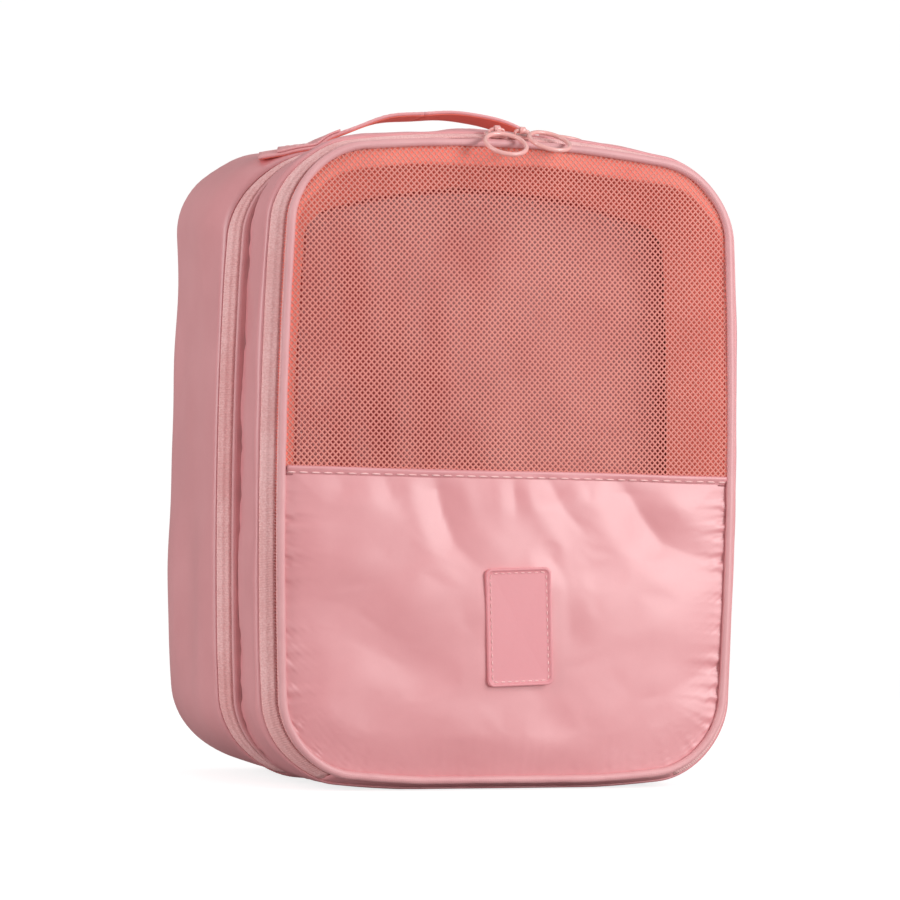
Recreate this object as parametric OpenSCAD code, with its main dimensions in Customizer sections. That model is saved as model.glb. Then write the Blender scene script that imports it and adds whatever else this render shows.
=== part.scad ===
// Two-compartment zipped travel shoe bag.
// X runs across the bag, Y from the front lid to the back panel, Z up.
// The origin is the bottom centre of the whole bag's bounding box.

/* [Front frame] */
// Width of the piped front frame, between the middles of its sides
frame_w = 236; // [200:1:290]
// Height of the piped front frame, at its middle
frame_h = 313; // [260:1:370]
// Height of the front frame above the base of the bag
frame_lift = 3; // [2:0.2:4]
// Corner radius of the front frame, before its edges bow
corner_r = 36; // [30:1:45]
// How far the sides draw in towards the corners
side_bow = 4.4; // [0:0.2:6]
// How far the top drops towards the corners
top_bow = 10; // [0:0.5:12]
// How much further the top drops there beside the second zip
shoulder_drop = 9; // [0:0.5:10]
// How far the base lifts towards the corners
base_bow = 6.5; // [0:0.5:8]
// Share of the base that lies flat
base_flat = 0.36; // [0.34:0.01:0.5]
// Diameter of the piping round the lid
piping_d = 4.3; // [3.4:0.1:5.5]
// Diameter of the cord inside the piping
piping_cord_d = 2.8; // [2:0.1:3]

/* [Compartments] */
// Depth of the bag, from the lid to the back panel
bag_depth = 156; // [125:1:210]
// Depth at which the front compartment meets the rear one
front_depth = 52; // [44:1:75]
// How far the front compartment stands out past the frame, each side
front_full = 6.6; // [3:0.2:9]
// How far the front compartment stands up past the frame
front_rise = 5.4; // [4:0.2:6.4]
// How far the rear compartment stands out past the frame, each side
rear_full = 18.5; // [15:0.5:26]
// How far the rear compartment stands up past the frame
rear_rise = 6; // [5:0.2:12]
// Radius of the rounded rear edge
rear_edge_r = 20; // [12:1:30]

/* [Cloth] */
// Thickness of the nylon outer cloth
cloth_t = 1; // [0.6:0.1:1.4]
// Thickness of the foam between cloth and lining
foam_t = 2; // [1:0.1:3]
// Thickness of the lining cloth
lining_t = 0.6; // [0.4:0.1:0.9]
// Clear space between two layers
layer_gap = 0.2; // [0.1:0.05:0.3]

/* [Lid panels] */
// Height of the hem between the mesh window and the lower panel
hem_z = 154.5; // [120:0.5:200]
// Width of the folded hem
hem_w = 4; // [3:0.5:8]
// How far the hem stands proud of the panel
hem_t = 0.9; // [0.5:0.1:1.6]
// Thickness of the mesh cloth
mesh_t = 1.2; // [0.8:0.1:1.6]

/* [Label] */
// Width of the soft label
label_w = 33.5; // [20:0.5:60]
// Height of the soft label
label_h = 57; // [30:0.5:80]
// Thickness of the label's plate
label_t = 1.4; // [0.8:0.1:2.5]
// Height of the label's raised rim above its plate
label_rim = 0.6; // [0.2:0.1:1.2]
// Width of the label's raised rim
label_rim_w = 2; // [1:0.5:4]
// Distance of the label's middle to the right of the bag's middle
label_x = 3.4; // [-30:0.2:30]
// Height of the label's middle
label_z = 79; // [50:0.5:100]
// Turn of the label as it was sewn, degrees
label_turn = -2.4; // [-4:0.1:4]

/* [Zips] */
// Depth of the seam between the front zip tape and the gusset
tape_seam_d = 9.6; // [8:0.2:14]
// How far that seam stands out past the frame, each side
tape_seam_full = 5.2; // [3:0.1:7]
// How far that seam stands up past the frame
tape_seam_rise = 4.5; // [3:0.1:5.5]
// Width of the lid's half of the front zip tape
lid_tape_w = 12; // [9:0.5:16]
// Width of the binding over the lid's inner seam
binding_w = 7; // [4:0.5:9]
// Width of the tape sewn under the cloth
tape_under = 4; // [3:0.5:6]
// Thickness of the zip tape
tape_t = 0.7; // [0.4:0.05:0.9]
// Width of one coil half
coil_w = 1.6; // [1:0.1:2]
// Thickness of the coil
coil_t = 0.8; // [0.6:0.05:1]
// Open gap between two halves of a zip
zip_gap = 0.9; // [0.8:0.05:1.4]

/* [Sliders] */
// Length of a slider along its zip
slider_len = 11.5; // [9:0.5:12]
// Width of a slider across its zip
slider_w = 6.8; // [5:0.2:7]
// Thickness of a slider's top plate
slider_t = 1.3; // [1:0.1:2]
// Diameter of the bar that carries the pull
bar_d = 1.5; // [1:0.1:2]
// Outer diameter of the pull's eye round the bar
eye_d = 3.6; // [3:0.1:4.5]
// Place of the front zip's left slider
front_left_x = -9.5; // [-14:0.5:-9]
// Place of the front zip's right slider
front_right_x = 3.5; // [3:0.5:10]
// Place of the second zip's left slider
rear_left_x = 44; // [40:0.5:46]
// Place of the second zip's right slider
rear_right_x = 57.5; // [57:0.5:62]

/* [Ring pulls] */
// Outer diameter of a ring pull
ring_d = 22.5; // [18:0.5:28]
// Thickness of the ring's wire
ring_wire = 2.2; // [1.6:0.1:2.8]
// Length of the neck between the eye and the ring
neck_len = 1.8; // [1.6:0.1:3]

/* [Carry handle] */
// Width of the handle strap
strap_w = 25; // [18:1:34]
// Thickness of the handle strap
strap_t = 2.2; // [1.4:0.1:3]
// Depth of the strap's front edge behind the second zip's seam
strap_back = 5.5; // [2:0.5:12]
// Length of the handle from end to end, across the bag
strap_span = 228; // [180:1:240]
// Height of the strap's arch above the bag
arch_rise = 14.2; // [11:0.2:40]
// Width of the arch to the left of its peak
arch_left = 46; // [40:1:60]
// Width of the arch to the right of its peak
arch_right = 61; // [50:1:80]
// Peak of the arch, across the bag
arch_x = -20; // [-30:1:0]
// Length of the end that is sewn down as one layer
tongue_len = 10; // [6:1:14]
// Length that is sewn down as two layers
lap_len = 33; // [20:1:40]

/* [Hidden] */

half_w = frame_w / 2;
frame_top = frame_h + frame_lift;
// How much a corner's radius grows with each millimetre of fullness
corner_grow = 0.15;
piping_r = piping_d / 2;

// Steps along the outline of the bag, starting at the middle of the base
corner_steps = 6;
edge_steps = 6;
half_edge = edge_steps / 2;
ring_steps = 4 * (corner_steps + edge_steps);
// The zips end one step into each lower corner
zip_from = half_edge + 1;
zip_to = ring_steps - zip_from;

// Depths of the layers at the front zip
sewn_gap = 0.05;
piping_gap = 0.25;
lid_tape_d = piping_r + piping_gap;
lid_coil_d = lid_tape_d + tape_t + sewn_gap;
lid_rear_d = lid_coil_d + coil_t;
lid_pivot_d = lid_rear_d + zip_gap / 2;
front_tape_d = lid_rear_d + zip_gap;
// The two zip halves meet this far outside the frame
split_out = 1;

// Depths of the layers at the second zip
second_pivot_d = front_depth;
second_rear_d = second_pivot_d + zip_gap / 2;
second_coil_d = second_pivot_d - zip_gap / 2 - coil_t;
second_tape_d = second_coil_d - sewn_gap - tape_t;
fold_d = second_tape_d - layer_gap;
rear_seam_d = second_rear_d + 2.1;

// Fullness of the two gussets along the depth of the bag
rear_start_full = rear_full - 4.5;
rear_start_rise = rear_rise - 1.5;
fold_full = front_full - 1.4;
fold_rise = front_rise - 1.4;
swell_d = tape_seam_d + (fold_d - tape_seam_d) / 3;
ease_d = fold_d - (fold_d - tape_seam_d) / 3;
rear_round_d = bag_depth - rear_edge_r;
rear_swell_d = rear_seam_d + (rear_round_d - rear_seam_d) / 3;
rear_ease_d = rear_round_d - (rear_round_d - rear_seam_d) / 3;
side_table = [[tape_seam_d, tape_seam_full], [swell_d, front_full],
    [ease_d, front_full - 0.2], [fold_d, fold_full],
    [rear_seam_d, rear_start_full], [rear_swell_d, rear_full - 0.9],
    [rear_ease_d, rear_full], [rear_round_d, rear_full - 0.6]];
rise_table = [[tape_seam_d, tape_seam_rise], [swell_d, front_rise],
    [ease_d, front_rise - 0.2], [fold_d, fold_rise],
    [rear_seam_d, rear_start_rise], [rear_swell_d, rear_rise - 0.4],
    [rear_ease_d, rear_rise], [rear_round_d, rear_rise - 0.4]];
shoulder_table = [[0, 0], [tape_seam_d, shoulder_drop / 2],
    [rear_seam_d, shoulder_drop], [rear_swell_d, shoulder_drop * 2 / 3],
    [rear_ease_d, shoulder_drop / 9], [rear_round_d, 0]];
// Where the halves of the second zip meet
chain_full = fold_full + 3.1;
chain_rise = fold_rise + 0.7;

foam_in = cloth_t + layer_gap;
lining_in = foam_in + foam_t + layer_gap;
tape_in = cloth_t + layer_gap;

// Partition between the compartments
partition_in = tape_in + tape_t + layer_gap;
partition_board_d = fold_d - layer_gap - lining_t - layer_gap - foam_t - 1;

// Slider and pull, measured from the line where the tapes meet
slider_lift = 0.8;
slider_shift = 0.8;
slider_tilt = 25;
web_t = zip_gap - 0.6;
web_len = 3;
foot_w = 1;
foot_t = 1.3;
foot_gap = 1;
bar_w_up = slider_lift + slider_t + eye_d / 2 + 0.5;
bar_y = (slider_shift - 0.2) * cos(slider_tilt) - bar_w_up * sin(slider_tilt);
bar_z = (slider_shift - 0.2) * sin(slider_tilt) + bar_w_up * cos(slider_tilt);
post_w = 0.9;
bridge_len = 7.4;
eye_len = 3;
bar_gap = 0.3;
neck_d = 1.6;
ring_r = (ring_d - ring_wire) / 2;
ring_centre = eye_d / 2 + neck_len + ring_wire / 2 + ring_r;
left_turn = 1;
right_turn = 50;
left_lean = 36;
right_lean = 35;
right_roll = 5;
rear_turn = 30;
rear_lean = 4;
front_split_z = frame_top + split_out - 0.1;
second_split_lift = 0.6;
second_split_z = frame_top + chain_rise + second_split_lift;

// The handle's strap
strap_d = rear_seam_d + strap_back;
arch_hold = 0.6;

// The bounding box runs from the tip of the front rings to the back panel
front_reach = (ring_centre * cos(left_turn) + ring_r) * cos(left_lean)
    + ring_wire / 2 - (lid_pivot_d + bar_y);
centre_d = (bag_depth - front_reach) / 2;

// A station is one point of a layer's cross-section: its depth, how far it
// stands out and up past the frame, how far it lies in from that surface, and
// which way its face looks, from 0 for outward to 90 for backward.
function station(depth, out, up, in = 0, face = 0) =
    [depth, out, up, in, face];
function skin(depth, in = 0, face = 0) =
    station(depth, lookup(depth, side_table), lookup(depth, rise_table), in,
        face);
function sunk(stations, by) = [for (s = stations)
    [s[0] - by * sin(s[4]), s[1], s[2], s[3] + by * cos(s[4]), s[4]]];
function reversed(list) = [for (i = [len(list) - 1:-1:0]) list[i]];
function wall(stations, t) =
    concat(stations, reversed(sunk(stations, t)));

// The sides and the top bow out. The base is flat in the middle and lifts
// towards its corners.
function bowed(p, half, mid, tall, depth) =
    let (u = abs(p[0]) / half, v = abs(p[1] - mid) / tall,
        lift = pow(max(u - base_flat, 0) / (1 - base_flat), 1.5))
    [p[0] - sign(p[0]) * side_bow * u * pow(v, 2),
        p[1] + v * (p[1] > mid ? -top_drop(u, depth) : base_bow * lift)];

// Drop of the top at a share u of its half width
function top_drop(u, depth) =
    (top_bow + lookup(depth, shoulder_table)) * pow(u, 2);

// Outline of the bag at one station, from the middle of the base to the right
function outline(s) =
    let (half = half_w + s[1] - s[3],
        top = frame_top + s[2] - s[3],
        base = s[3] + frame_lift * max(1 - s[1] / tape_seam_full, 0),
        r = max(corner_r + corner_grow * s[1] - s[3], 2),
        w = half - r,
        tall = top - base - 2 * r,
        turn = 90 / corner_steps)
    [for (p = concat(
        [for (i = [0:half_edge - 1]) [w * i / half_edge, base]],
        [for (i = [0:corner_steps - 1])
            [w + r * sin(turn * i), base + r - r * cos(turn * i)]],
        [for (i = [0:edge_steps - 1])
            [half, base + r + tall * i / edge_steps]],
        [for (i = [0:corner_steps - 1])
            [w + r * cos(turn * i), top - r + r * sin(turn * i)]],
        [for (i = [0:edge_steps - 1])
            [w - 2 * w * i / edge_steps, top]],
        [for (i = [0:corner_steps - 1])
            [-w - r * sin(turn * i), top - r + r * cos(turn * i)]],
        [for (i = [0:edge_steps - 1])
            [-half, top - r - tall * i / edge_steps]],
        [for (i = [0:corner_steps - 1])
            [-w - r * cos(turn * i), base + r - r * sin(turn * i)]],
        [for (i = [0:half_edge - 1]) [-w + w * i / half_edge, base]]))
        bowed(p, half, (top + base) / 2, (top - base) / 2, s[0])];

// A layer that runs round the bag, from one step of the outline to another.
// Its two faces are split along the same diagonals, so layers stay parallel.
module band(section, from = 0, to = ring_steps) {
    whole = to - from == ring_steps;
    rows = whole ? ring_steps : to - from + 1;
    n = len(section);
    rims = [for (s = section) outline(s)];
    points = [for (i = [0:rows - 1]) for (j = [0:n - 1])
        let (p = rims[j][(from + i) % ring_steps])
        [p[0], section[j][0], p[1]]];
    sides = [for (i = [0:to - from - 1]) for (j = [0:n - 1])
        let (k = (j + 1) % n, a = i * n, b = ((i + 1) % rows) * n)
        each j < n / 2
            ? [[a + j, b + j, b + k], [a + j, b + k, a + k]]
            : [[a + j, b + j, a + k], [b + j, b + k, a + k]]];
    last = (rows - 1) * n;
    caps = whole ? [] : [for (k = [0:n / 2 - 2])
        let (l = n - 2 - k, m = n - 1 - k)
        each [[k, k + 1, l], [k, l, m],
            [last + k, last + l, last + k + 1],
            [last + k, last + m, last + l]]];
    polyhedron(points, concat(sides, caps), convexity = 8);
}

// A flat panel with the bag's outline at a station, t thick towards the back
module panel(s, t) {
    translate([0, s[0] + t, 0]) rotate([90, 0, 0])
        linear_extrude(t) polygon(outline(s));
}

// Everything is drawn from the front frame back, then centred
module placed() {
    translate([0, -centre_d, 0]) children();
}

// ---- Front lid ----

function tube(r) = [for (a = [0:45:315])
    station(r * sin(a), 0, 0, piping_r - r * cos(a))];

module lid_piping() {
    color("#e3b0ad") placed() difference() {
        band(tube(piping_r));
        band(tube(piping_cord_d / 2 + 0.1));
    }
}

module lid_piping_cord() {
    color("#f2e6e2") placed() band(tube(piping_cord_d / 2));
}

panel_in = piping_d + 2 * sewn_gap;

module above_hem(up) {
    translate([-frame_w, -bag_depth, up ? hem_z + 2 * sewn_gap : hem_z - frame_h])
        cube([2 * frame_w, 2 * bag_depth, frame_h]);
}

module mesh_window() {
    color("#e8776c") placed() intersection() {
        panel(station(0, 0, 0, panel_in), mesh_t);
        above_hem(true);
    }
}

module lower_panel() {
    color("#e2a9ab") placed() intersection() {
        panel(station(0, 0, 0, panel_in), cloth_t);
        above_hem(false);
    }
}

module lower_panel_lining() {
    color("#e58279") placed() intersection() {
        panel(station(cloth_t + layer_gap, 0, 0, panel_in), lining_t);
        above_hem(false);
    }
}

module window_hem() {
    color("#e6b2b3") placed() intersection() {
        panel(station(-hem_t - sewn_gap, 0, 0, panel_in), hem_t);
        translate([-frame_w, -bag_depth, hem_z - hem_w])
            cube([2 * frame_w, 2 * bag_depth, hem_w]);
    }
}

module rounded(w, h, r) {
    square([w - 2 * r, h], center = true);
    square([w, h - 2 * r], center = true);
    for (x = [-1, 1], y = [-1, 1])
        translate([x * (w / 2 - r), y * (h / 2 - r)]) circle(r, $fn = 48);
}

label_corner_r = 3;

module soft_label() {
    color("#f0a0a4") placed() translate([label_x, -sewn_gap, label_z])
        rotate([90, -label_turn, 0]) {
            linear_extrude(label_t)
                rounded(label_w, label_h, label_corner_r);
            linear_extrude(label_t + label_rim) difference() {
                rounded(label_w, label_h, label_corner_r);
                rounded(label_w - 2 * label_rim_w,
                    label_h - 2 * label_rim_w,
                    label_corner_r - label_rim_w / 2);
            }
        }
}

lid_strip = wall([station(lid_tape_d, 0, 0, lid_tape_w, -90),
    station(lid_tape_d, 0, 0, 0, -90)], tape_t);

module lid_zip_tape() {
    color("#efb9bb") placed() band(lid_strip, zip_from, zip_to);
}

// The lid's half of the hinge cloth, below the ends of the zip
module lid_hinge_flap() {
    color("#dc9c9d") placed()
        band(lid_strip, zip_to, ring_steps + zip_from);
}

module lid_zip_coil() {
    color("#d98f92") placed() band(wall([
        station(lid_coil_d, 0, 0, coil_w, -90),
        station(lid_coil_d, 0, 0, 0, -90)], coil_t), zip_from, zip_to);
}

// The binding lies over the inner edge of the lid's tape
binding_in = lid_tape_w / 2;
binding_d = lid_tape_d + tape_t + 2 * sewn_gap;
binding_t = lining_t - 2 * sewn_gap;

module lid_seam_binding() {
    color("#e58279") placed() band(wall([
        station(binding_d, 0, 0, binding_in + binding_w, -90),
        station(binding_d, 0, 0, binding_in, -90)],
        binding_t));
}

// ---- Front compartment ----

// Tape or hinge cloth between the front zip and the gusset's seam
front_strip = wall([
    station(front_tape_d, split_out, split_out, 0, -45),
    station(tape_seam_d, tape_seam_full, tape_seam_rise, tape_in, -20),
    skin(tape_seam_d + tape_under, tape_in)], tape_t);

module front_zip_tape() {
    color("#efb9bb") placed() band(front_strip, zip_from, zip_to);
}

module lid_hinge_cloth() {
    color("#dc9c9d") placed()
        band(front_strip, zip_to, ring_steps + zip_from);
}

module coil_half(depth, out, up, in) {
    band(wall([station(depth, out, up, in),
        station(depth + coil_t, out, up, in)], coil_w), zip_from, zip_to);
}

coil_gap = 0.4;
coil_in = tape_t + coil_gap;
tab_in = coil_in + 1;
tab_w = 1.9;
tab_t = 0.5;

module front_zip_coil() {
    color("#d98f92") placed()
        coil_half(front_tape_d, split_out, split_out, coil_in);
}

module end_tabs(depth, out, up, in) {
    for (from = [zip_from - 1, zip_to])
        band(wall([station(depth, out, up, in),
            station(depth + tab_w, out, up, in)], tab_t),
            from, from + 1);
}

module front_zip_end_tabs() {
    color("#d98f92") placed()
        end_tabs(front_tape_d, split_out, split_out, tab_in);
}

front_skin = [skin(tape_seam_d), skin(swell_d), skin(ease_d), skin(fold_d)];

module front_gusset() {
    color("#d6949a") placed() band(wall(front_skin, cloth_t));
}

foam_from = tape_seam_d + tape_under + 0.5;
foam_to = fold_d - 2 * tape_under;

module front_gusset_foam() {
    color("#f6efe9") placed() band(wall([skin(foam_from, foam_in),
        skin(swell_d, foam_in), skin(ease_d, foam_in),
        skin(foam_to, foam_in)], foam_t));
}

module front_gusset_lining() {
    color("#ec8077") placed() band(wall([skin(tape_seam_d, lining_in),
        skin(swell_d, lining_in), skin(ease_d, lining_in),
        skin(partition_board_d - lining_t - 2 * layer_gap, lining_in)],
        lining_t));
}

module partition_front_lining() {
    color("#e2756c") placed() panel(
        skin(partition_board_d - lining_t - layer_gap, partition_in),
        lining_t);
}

module partition_board() {
    color("#f6efe9") placed()
        panel(skin(partition_board_d, partition_in), foam_t);
}

module partition_back_lining() {
    color("#e2756c") placed() panel(
        skin(partition_board_d + foam_t + layer_gap, partition_in),
        lining_t);
}

second_strip = wall([skin(fold_d - 1.5 * tape_under, tape_in),
    station(second_tape_d, fold_full, fold_rise, tape_in, -45),
    station(second_tape_d, chain_full, chain_rise, 0, -90)], tape_t);

module second_zip_front_tape() {
    color("#efb9bb") placed() band(second_strip, zip_from, zip_to);
}

// The front compartment's half of the rear hinge cloth
module rear_hinge_flap() {
    color("#dc9c9d") placed()
        band(second_strip, zip_to, ring_steps + zip_from);
}

module second_zip_front_coil() {
    color("#d98f92") placed() band(wall([
        station(second_coil_d, chain_full, chain_rise, coil_w, -90),
        station(second_coil_d, chain_full, chain_rise, 0, -90)],
        coil_t), zip_from, zip_to);
}

// ---- Rear compartment ----

rear_strip = wall([
    station(second_rear_d, chain_full + 0.4, chain_rise + 0.2, 0, -60),
    station(rear_seam_d, rear_start_full, rear_start_rise, tape_in, -30),
    skin(rear_seam_d + tape_under, tape_in)], tape_t);

module second_zip_rear_tape() {
    color("#efb9bb") placed() band(rear_strip, zip_from, zip_to);
}

module rear_hinge_cloth() {
    color("#dc9c9d") placed()
        band(rear_strip, zip_to, ring_steps + zip_from);
}

module second_zip_rear_coil() {
    color("#d98f92") placed() coil_half(second_rear_d, chain_full + 0.4,
        chain_rise + 0.2, coil_in);
}

module second_zip_end_tabs() {
    color("#d98f92") placed() end_tabs(second_rear_d, chain_full + 0.4,
        chain_rise + 0.2, tab_in);
}

// The gusset runs back and turns in round the rear edge
rear_skin = concat(
    [skin(rear_seam_d), skin(rear_swell_d), skin(rear_ease_d)],
    [for (a = [0:30:90]) station(rear_round_d + rear_edge_r * sin(a),
        rear_full - 0.6, rear_rise - 0.4, rear_edge_r * (1 - cos(a)), a)]);

module rear_gusset() {
    color("#c98a8c") placed() band(wall(rear_skin, cloth_t));
}

rear_foam_skin = concat([skin(rear_seam_d + tape_under + 0.5)],
    [for (i = [1:len(rear_skin) - 1]) rear_skin[i]]);

module rear_gusset_foam() {
    color("#f6efe9") placed()
        band(wall(sunk(rear_foam_skin, foam_in), foam_t));
}

module rear_gusset_lining() {
    color("#ec8077") placed()
        band(wall(sunk(rear_skin, lining_in), lining_t));
}

back_in = rear_edge_r + layer_gap;

module back_layer(depth_in, t) {
    panel(station(bag_depth - depth_in - t, rear_full - 0.6,
        rear_rise - 0.4, back_in), t);
}

module back_panel() {
    color("#c98a8c") placed() back_layer(0, cloth_t);
}

module back_board() {
    color("#f6efe9") placed() back_layer(foam_in, foam_t);
}

module back_lining() {
    color("#ec8077") placed() back_layer(lining_in, lining_t);
}

// ---- Carry handle ----

// Height of the bag's top above x, at the deepest fullness
function top_z(x) =
    let (half = half_w + rear_full, r = corner_r + corner_grow * rear_full,
        over = max(abs(x) - (half - r), 0))
    frame_top + rear_rise - r + sqrt(pow(r, 2) - pow(over, 2))
        - top_drop(abs(x) / half, strap_d + strap_w);

function arch(x) =
    let (run = (x - arch_x) / (x < arch_x ? arch_left : arch_right))
    arch_rise * max(1 - pow(run, 2), 0);

function strap_z(x) = top_z(x) + 0.2 + arch(x);

// A length of strap from one x to another, with its own thickness
module strap(from, to, t, lift = 0, steps = 14) {
    xs = [for (i = [0:steps]) from + (to - from) * i / steps];
    under = [for (x = xs) [x, strap_z(x) + lift]];
    over = [for (p = reversed(under)) [p[0], p[1] + t]];
    translate([0, strap_d + strap_w, 0]) rotate([90, 0, 0])
        linear_extrude(strap_w) polygon(concat(under, over));
}

arch_from = arch_x - arch_hold * arch_left;
arch_to = arch_x + arch_hold * arch_right;
sway_gap = 0.35;

// Each end is one layer at its tip and two where the strap doubles back
module handle_end_left() {
    color("#dd9c9f") placed() {
        strap(-strap_span / 2, arch_from - sway_gap, strap_t);
        strap(tongue_len - strap_span / 2,
            tongue_len + lap_len - strap_span / 2, strap_t, strap_t);
    }
}

module handle_end_right() {
    color("#dd9c9f") placed() {
        strap(arch_to + sway_gap, strap_span / 2, strap_t, 0, 20);
        strap(strap_span / 2 - lap_len - tongue_len,
            strap_span / 2 - tongue_len, strap_t, strap_t);
    }
}

module handle_arch() {
    color("#e0787a") placed() strap(arch_from, arch_to, strap_t);
}

// ---- Sliders and pulls ----

// A slider, drawn from the line where the two tapes meet. Its plate lies over
// both tapes, and a web and a foot reach round the front half's coil.
module slider(coil_low) {
    foot_low = coil_low + foot_gap + foot_t;
    rotate([slider_tilt, 0, 0]) translate([0, slider_shift, slider_lift]) {
        linear_extrude(slider_t) rounded(slider_len, slider_w, 2.2);
        for (x = [-1, 1])
            translate([x * (bridge_len - post_w) / 2 - post_w / 2,
                -0.2 - bar_d / 2, slider_t - 0.1])
                cube([post_w, bar_d, eye_d / 2 + 0.6 + bar_d / 2]);
    }
    translate([0, bar_y, bar_z]) rotate([0, 90, 0])
        cylinder(h = bridge_len, d = bar_d, center = true, $fn = 24);
    translate([-web_len / 2, -web_t / 2, -foot_low])
        cube([web_len, web_t, foot_low + slider_lift + 0.4]);
    translate([-web_len / 2, -foot_w, -foot_low])
        cube([web_len, foot_w + web_t / 2, foot_t]);
}

// A ring pull on its bar. It leans forward, turned to one side, and its ring
// rolls a little about the neck.
module pull(lean, turn, roll = 0) {
    rotate([lean, 0, 0]) {
        difference() {
            union() {
                rotate([0, 90, 0])
                    cylinder(h = eye_len, d = eye_d, center = true, $fn = 32);
                rotate([0, 0, turn]) translate([0, 0.3 - eye_d / 2, 0])
                    rotate([90, 0, 0]) cylinder(h = neck_len + ring_wire / 2,
                        d = neck_d, $fn = 24);
            }
            rotate([0, 90, 0]) cylinder(h = 2 * eye_len,
                d = bar_d + 2 * bar_gap, center = true, $fn = 32);
        }
        rotate([0, roll, turn]) translate([0, -ring_centre, 0])
            rotate_extrude($fn = 64)
                translate([ring_r, 0]) circle(d = ring_wire, $fn = 24);
    }
}

front_coil_low = split_out - 0.1 + coil_w;
second_coil_low = second_split_lift + coil_w;

// On the line where the tapes meet, at x, in line with the bowed top
module at_split(x, depth, z, full) {
    drop = top_drop(x / (half_w + full), depth);
    placed() translate([x, depth, z - drop])
        rotate([0, atan(2 * drop / x), 0]) children();
}

module at_front_split(x) {
    at_split(x, lid_pivot_d, front_split_z, split_out) children();
}

module at_second_split(x) {
    at_split(x, second_pivot_d, second_split_z, chain_full) children();
}

module at_bar() {
    translate([0, bar_y, bar_z]) children();
}

metal = "#e9a7a4";

module front_slider_left() {
    color(metal) at_front_split(front_left_x) slider(front_coil_low);
}

module front_slider_right() {
    color(metal) at_front_split(front_right_x) slider(front_coil_low);
}

module front_pull_left() {
    color(metal) at_front_split(front_left_x) at_bar()
        pull(left_lean, left_turn);
}

module front_pull_right() {
    color(metal) at_front_split(front_right_x) at_bar()
        pull(right_lean, right_turn, right_roll);
}

module rear_slider_left() {
    color(metal) at_second_split(rear_left_x) slider(second_coil_low);
}

module rear_slider_right() {
    color(metal) at_second_split(rear_right_x) slider(second_coil_low);
}

module rear_pull_left() {
    color(metal) at_second_split(rear_left_x) at_bar()
        pull(rear_lean, -rear_turn);
}

module rear_pull_right() {
    color(metal) at_second_split(rear_right_x) at_bar()
        pull(rear_lean, rear_turn);
}

lid_piping();
lid_piping_cord();
mesh_window();
lower_panel();
lower_panel_lining();
window_hem();
soft_label();
lid_zip_tape();
lid_zip_coil();
lid_seam_binding();
front_zip_tape();
front_zip_coil();
front_zip_end_tabs();
lid_hinge_cloth();
lid_hinge_flap();
front_gusset();
front_gusset_foam();
front_gusset_lining();
partition_front_lining();
partition_board();
partition_back_lining();
second_zip_front_tape();
second_zip_front_coil();
second_zip_rear_tape();
second_zip_rear_coil();
second_zip_end_tabs();
rear_hinge_cloth();
rear_hinge_flap();
rear_gusset();
rear_gusset_foam();
rear_gusset_lining();
back_panel();
back_board();
back_lining();
handle_end_left();
handle_end_right();
handle_arch();
front_slider_left();
front_slider_right();
front_pull_left();
front_pull_right();
rear_slider_left();
rear_slider_right();
rear_pull_left();
rear_pull_right();
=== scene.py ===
"""Dresses the two-compartment shoe bag: its cloth walls, net, zips, strap and stage.

Sizes are in millimetres in the bag's own place: x across from the middle, depth from
the lid's front to the back, z up from the ground. The workroom turns them to metres.
"""

import logging
import math
from dataclasses import dataclass
from enum import Enum
from functools import partial
from typing import Any, Sequence

import bpy
import numpy as np
from mathutils import Matrix, Vector

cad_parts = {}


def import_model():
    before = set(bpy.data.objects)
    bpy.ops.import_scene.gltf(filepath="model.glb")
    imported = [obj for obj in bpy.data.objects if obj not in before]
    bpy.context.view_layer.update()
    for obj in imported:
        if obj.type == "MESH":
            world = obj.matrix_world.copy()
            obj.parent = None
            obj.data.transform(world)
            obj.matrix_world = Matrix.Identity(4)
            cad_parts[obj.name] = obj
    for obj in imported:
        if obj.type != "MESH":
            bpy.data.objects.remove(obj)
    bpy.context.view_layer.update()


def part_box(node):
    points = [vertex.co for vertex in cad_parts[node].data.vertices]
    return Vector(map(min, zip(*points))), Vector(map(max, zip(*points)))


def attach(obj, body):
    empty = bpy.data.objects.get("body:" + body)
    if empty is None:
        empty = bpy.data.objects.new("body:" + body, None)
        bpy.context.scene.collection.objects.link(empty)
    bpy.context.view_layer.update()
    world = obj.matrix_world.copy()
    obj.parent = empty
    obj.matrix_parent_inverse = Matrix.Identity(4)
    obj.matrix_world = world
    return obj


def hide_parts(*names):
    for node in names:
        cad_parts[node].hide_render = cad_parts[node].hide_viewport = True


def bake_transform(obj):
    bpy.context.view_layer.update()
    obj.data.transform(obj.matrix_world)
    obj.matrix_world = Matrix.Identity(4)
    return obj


MM = 0.001
LOG = logging.getLogger("shoe_bag")
Grid = np.ndarray
Piece = bpy.types.Object
Socket = bpy.types.NodeSocket


# ---------------------------------------------------------------- small tools


def linear(colour: str) -> tuple[float, float, float, float]:
    """Turns an sRGB hex colour to linear light.

    Args:
        colour: six hex digits after a hash sign.

    Returns:
        Red, green, blue and an alpha of 1.
    """
    parts = [int(colour[i : i + 2], 16) / 255 for i in (1, 3, 5)]
    return tuple(
        c / 12.92 if c <= 0.04045 else ((c + 0.055) / 1.055) ** 2.4 for c in parts
    ) + (1.0,)


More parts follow.
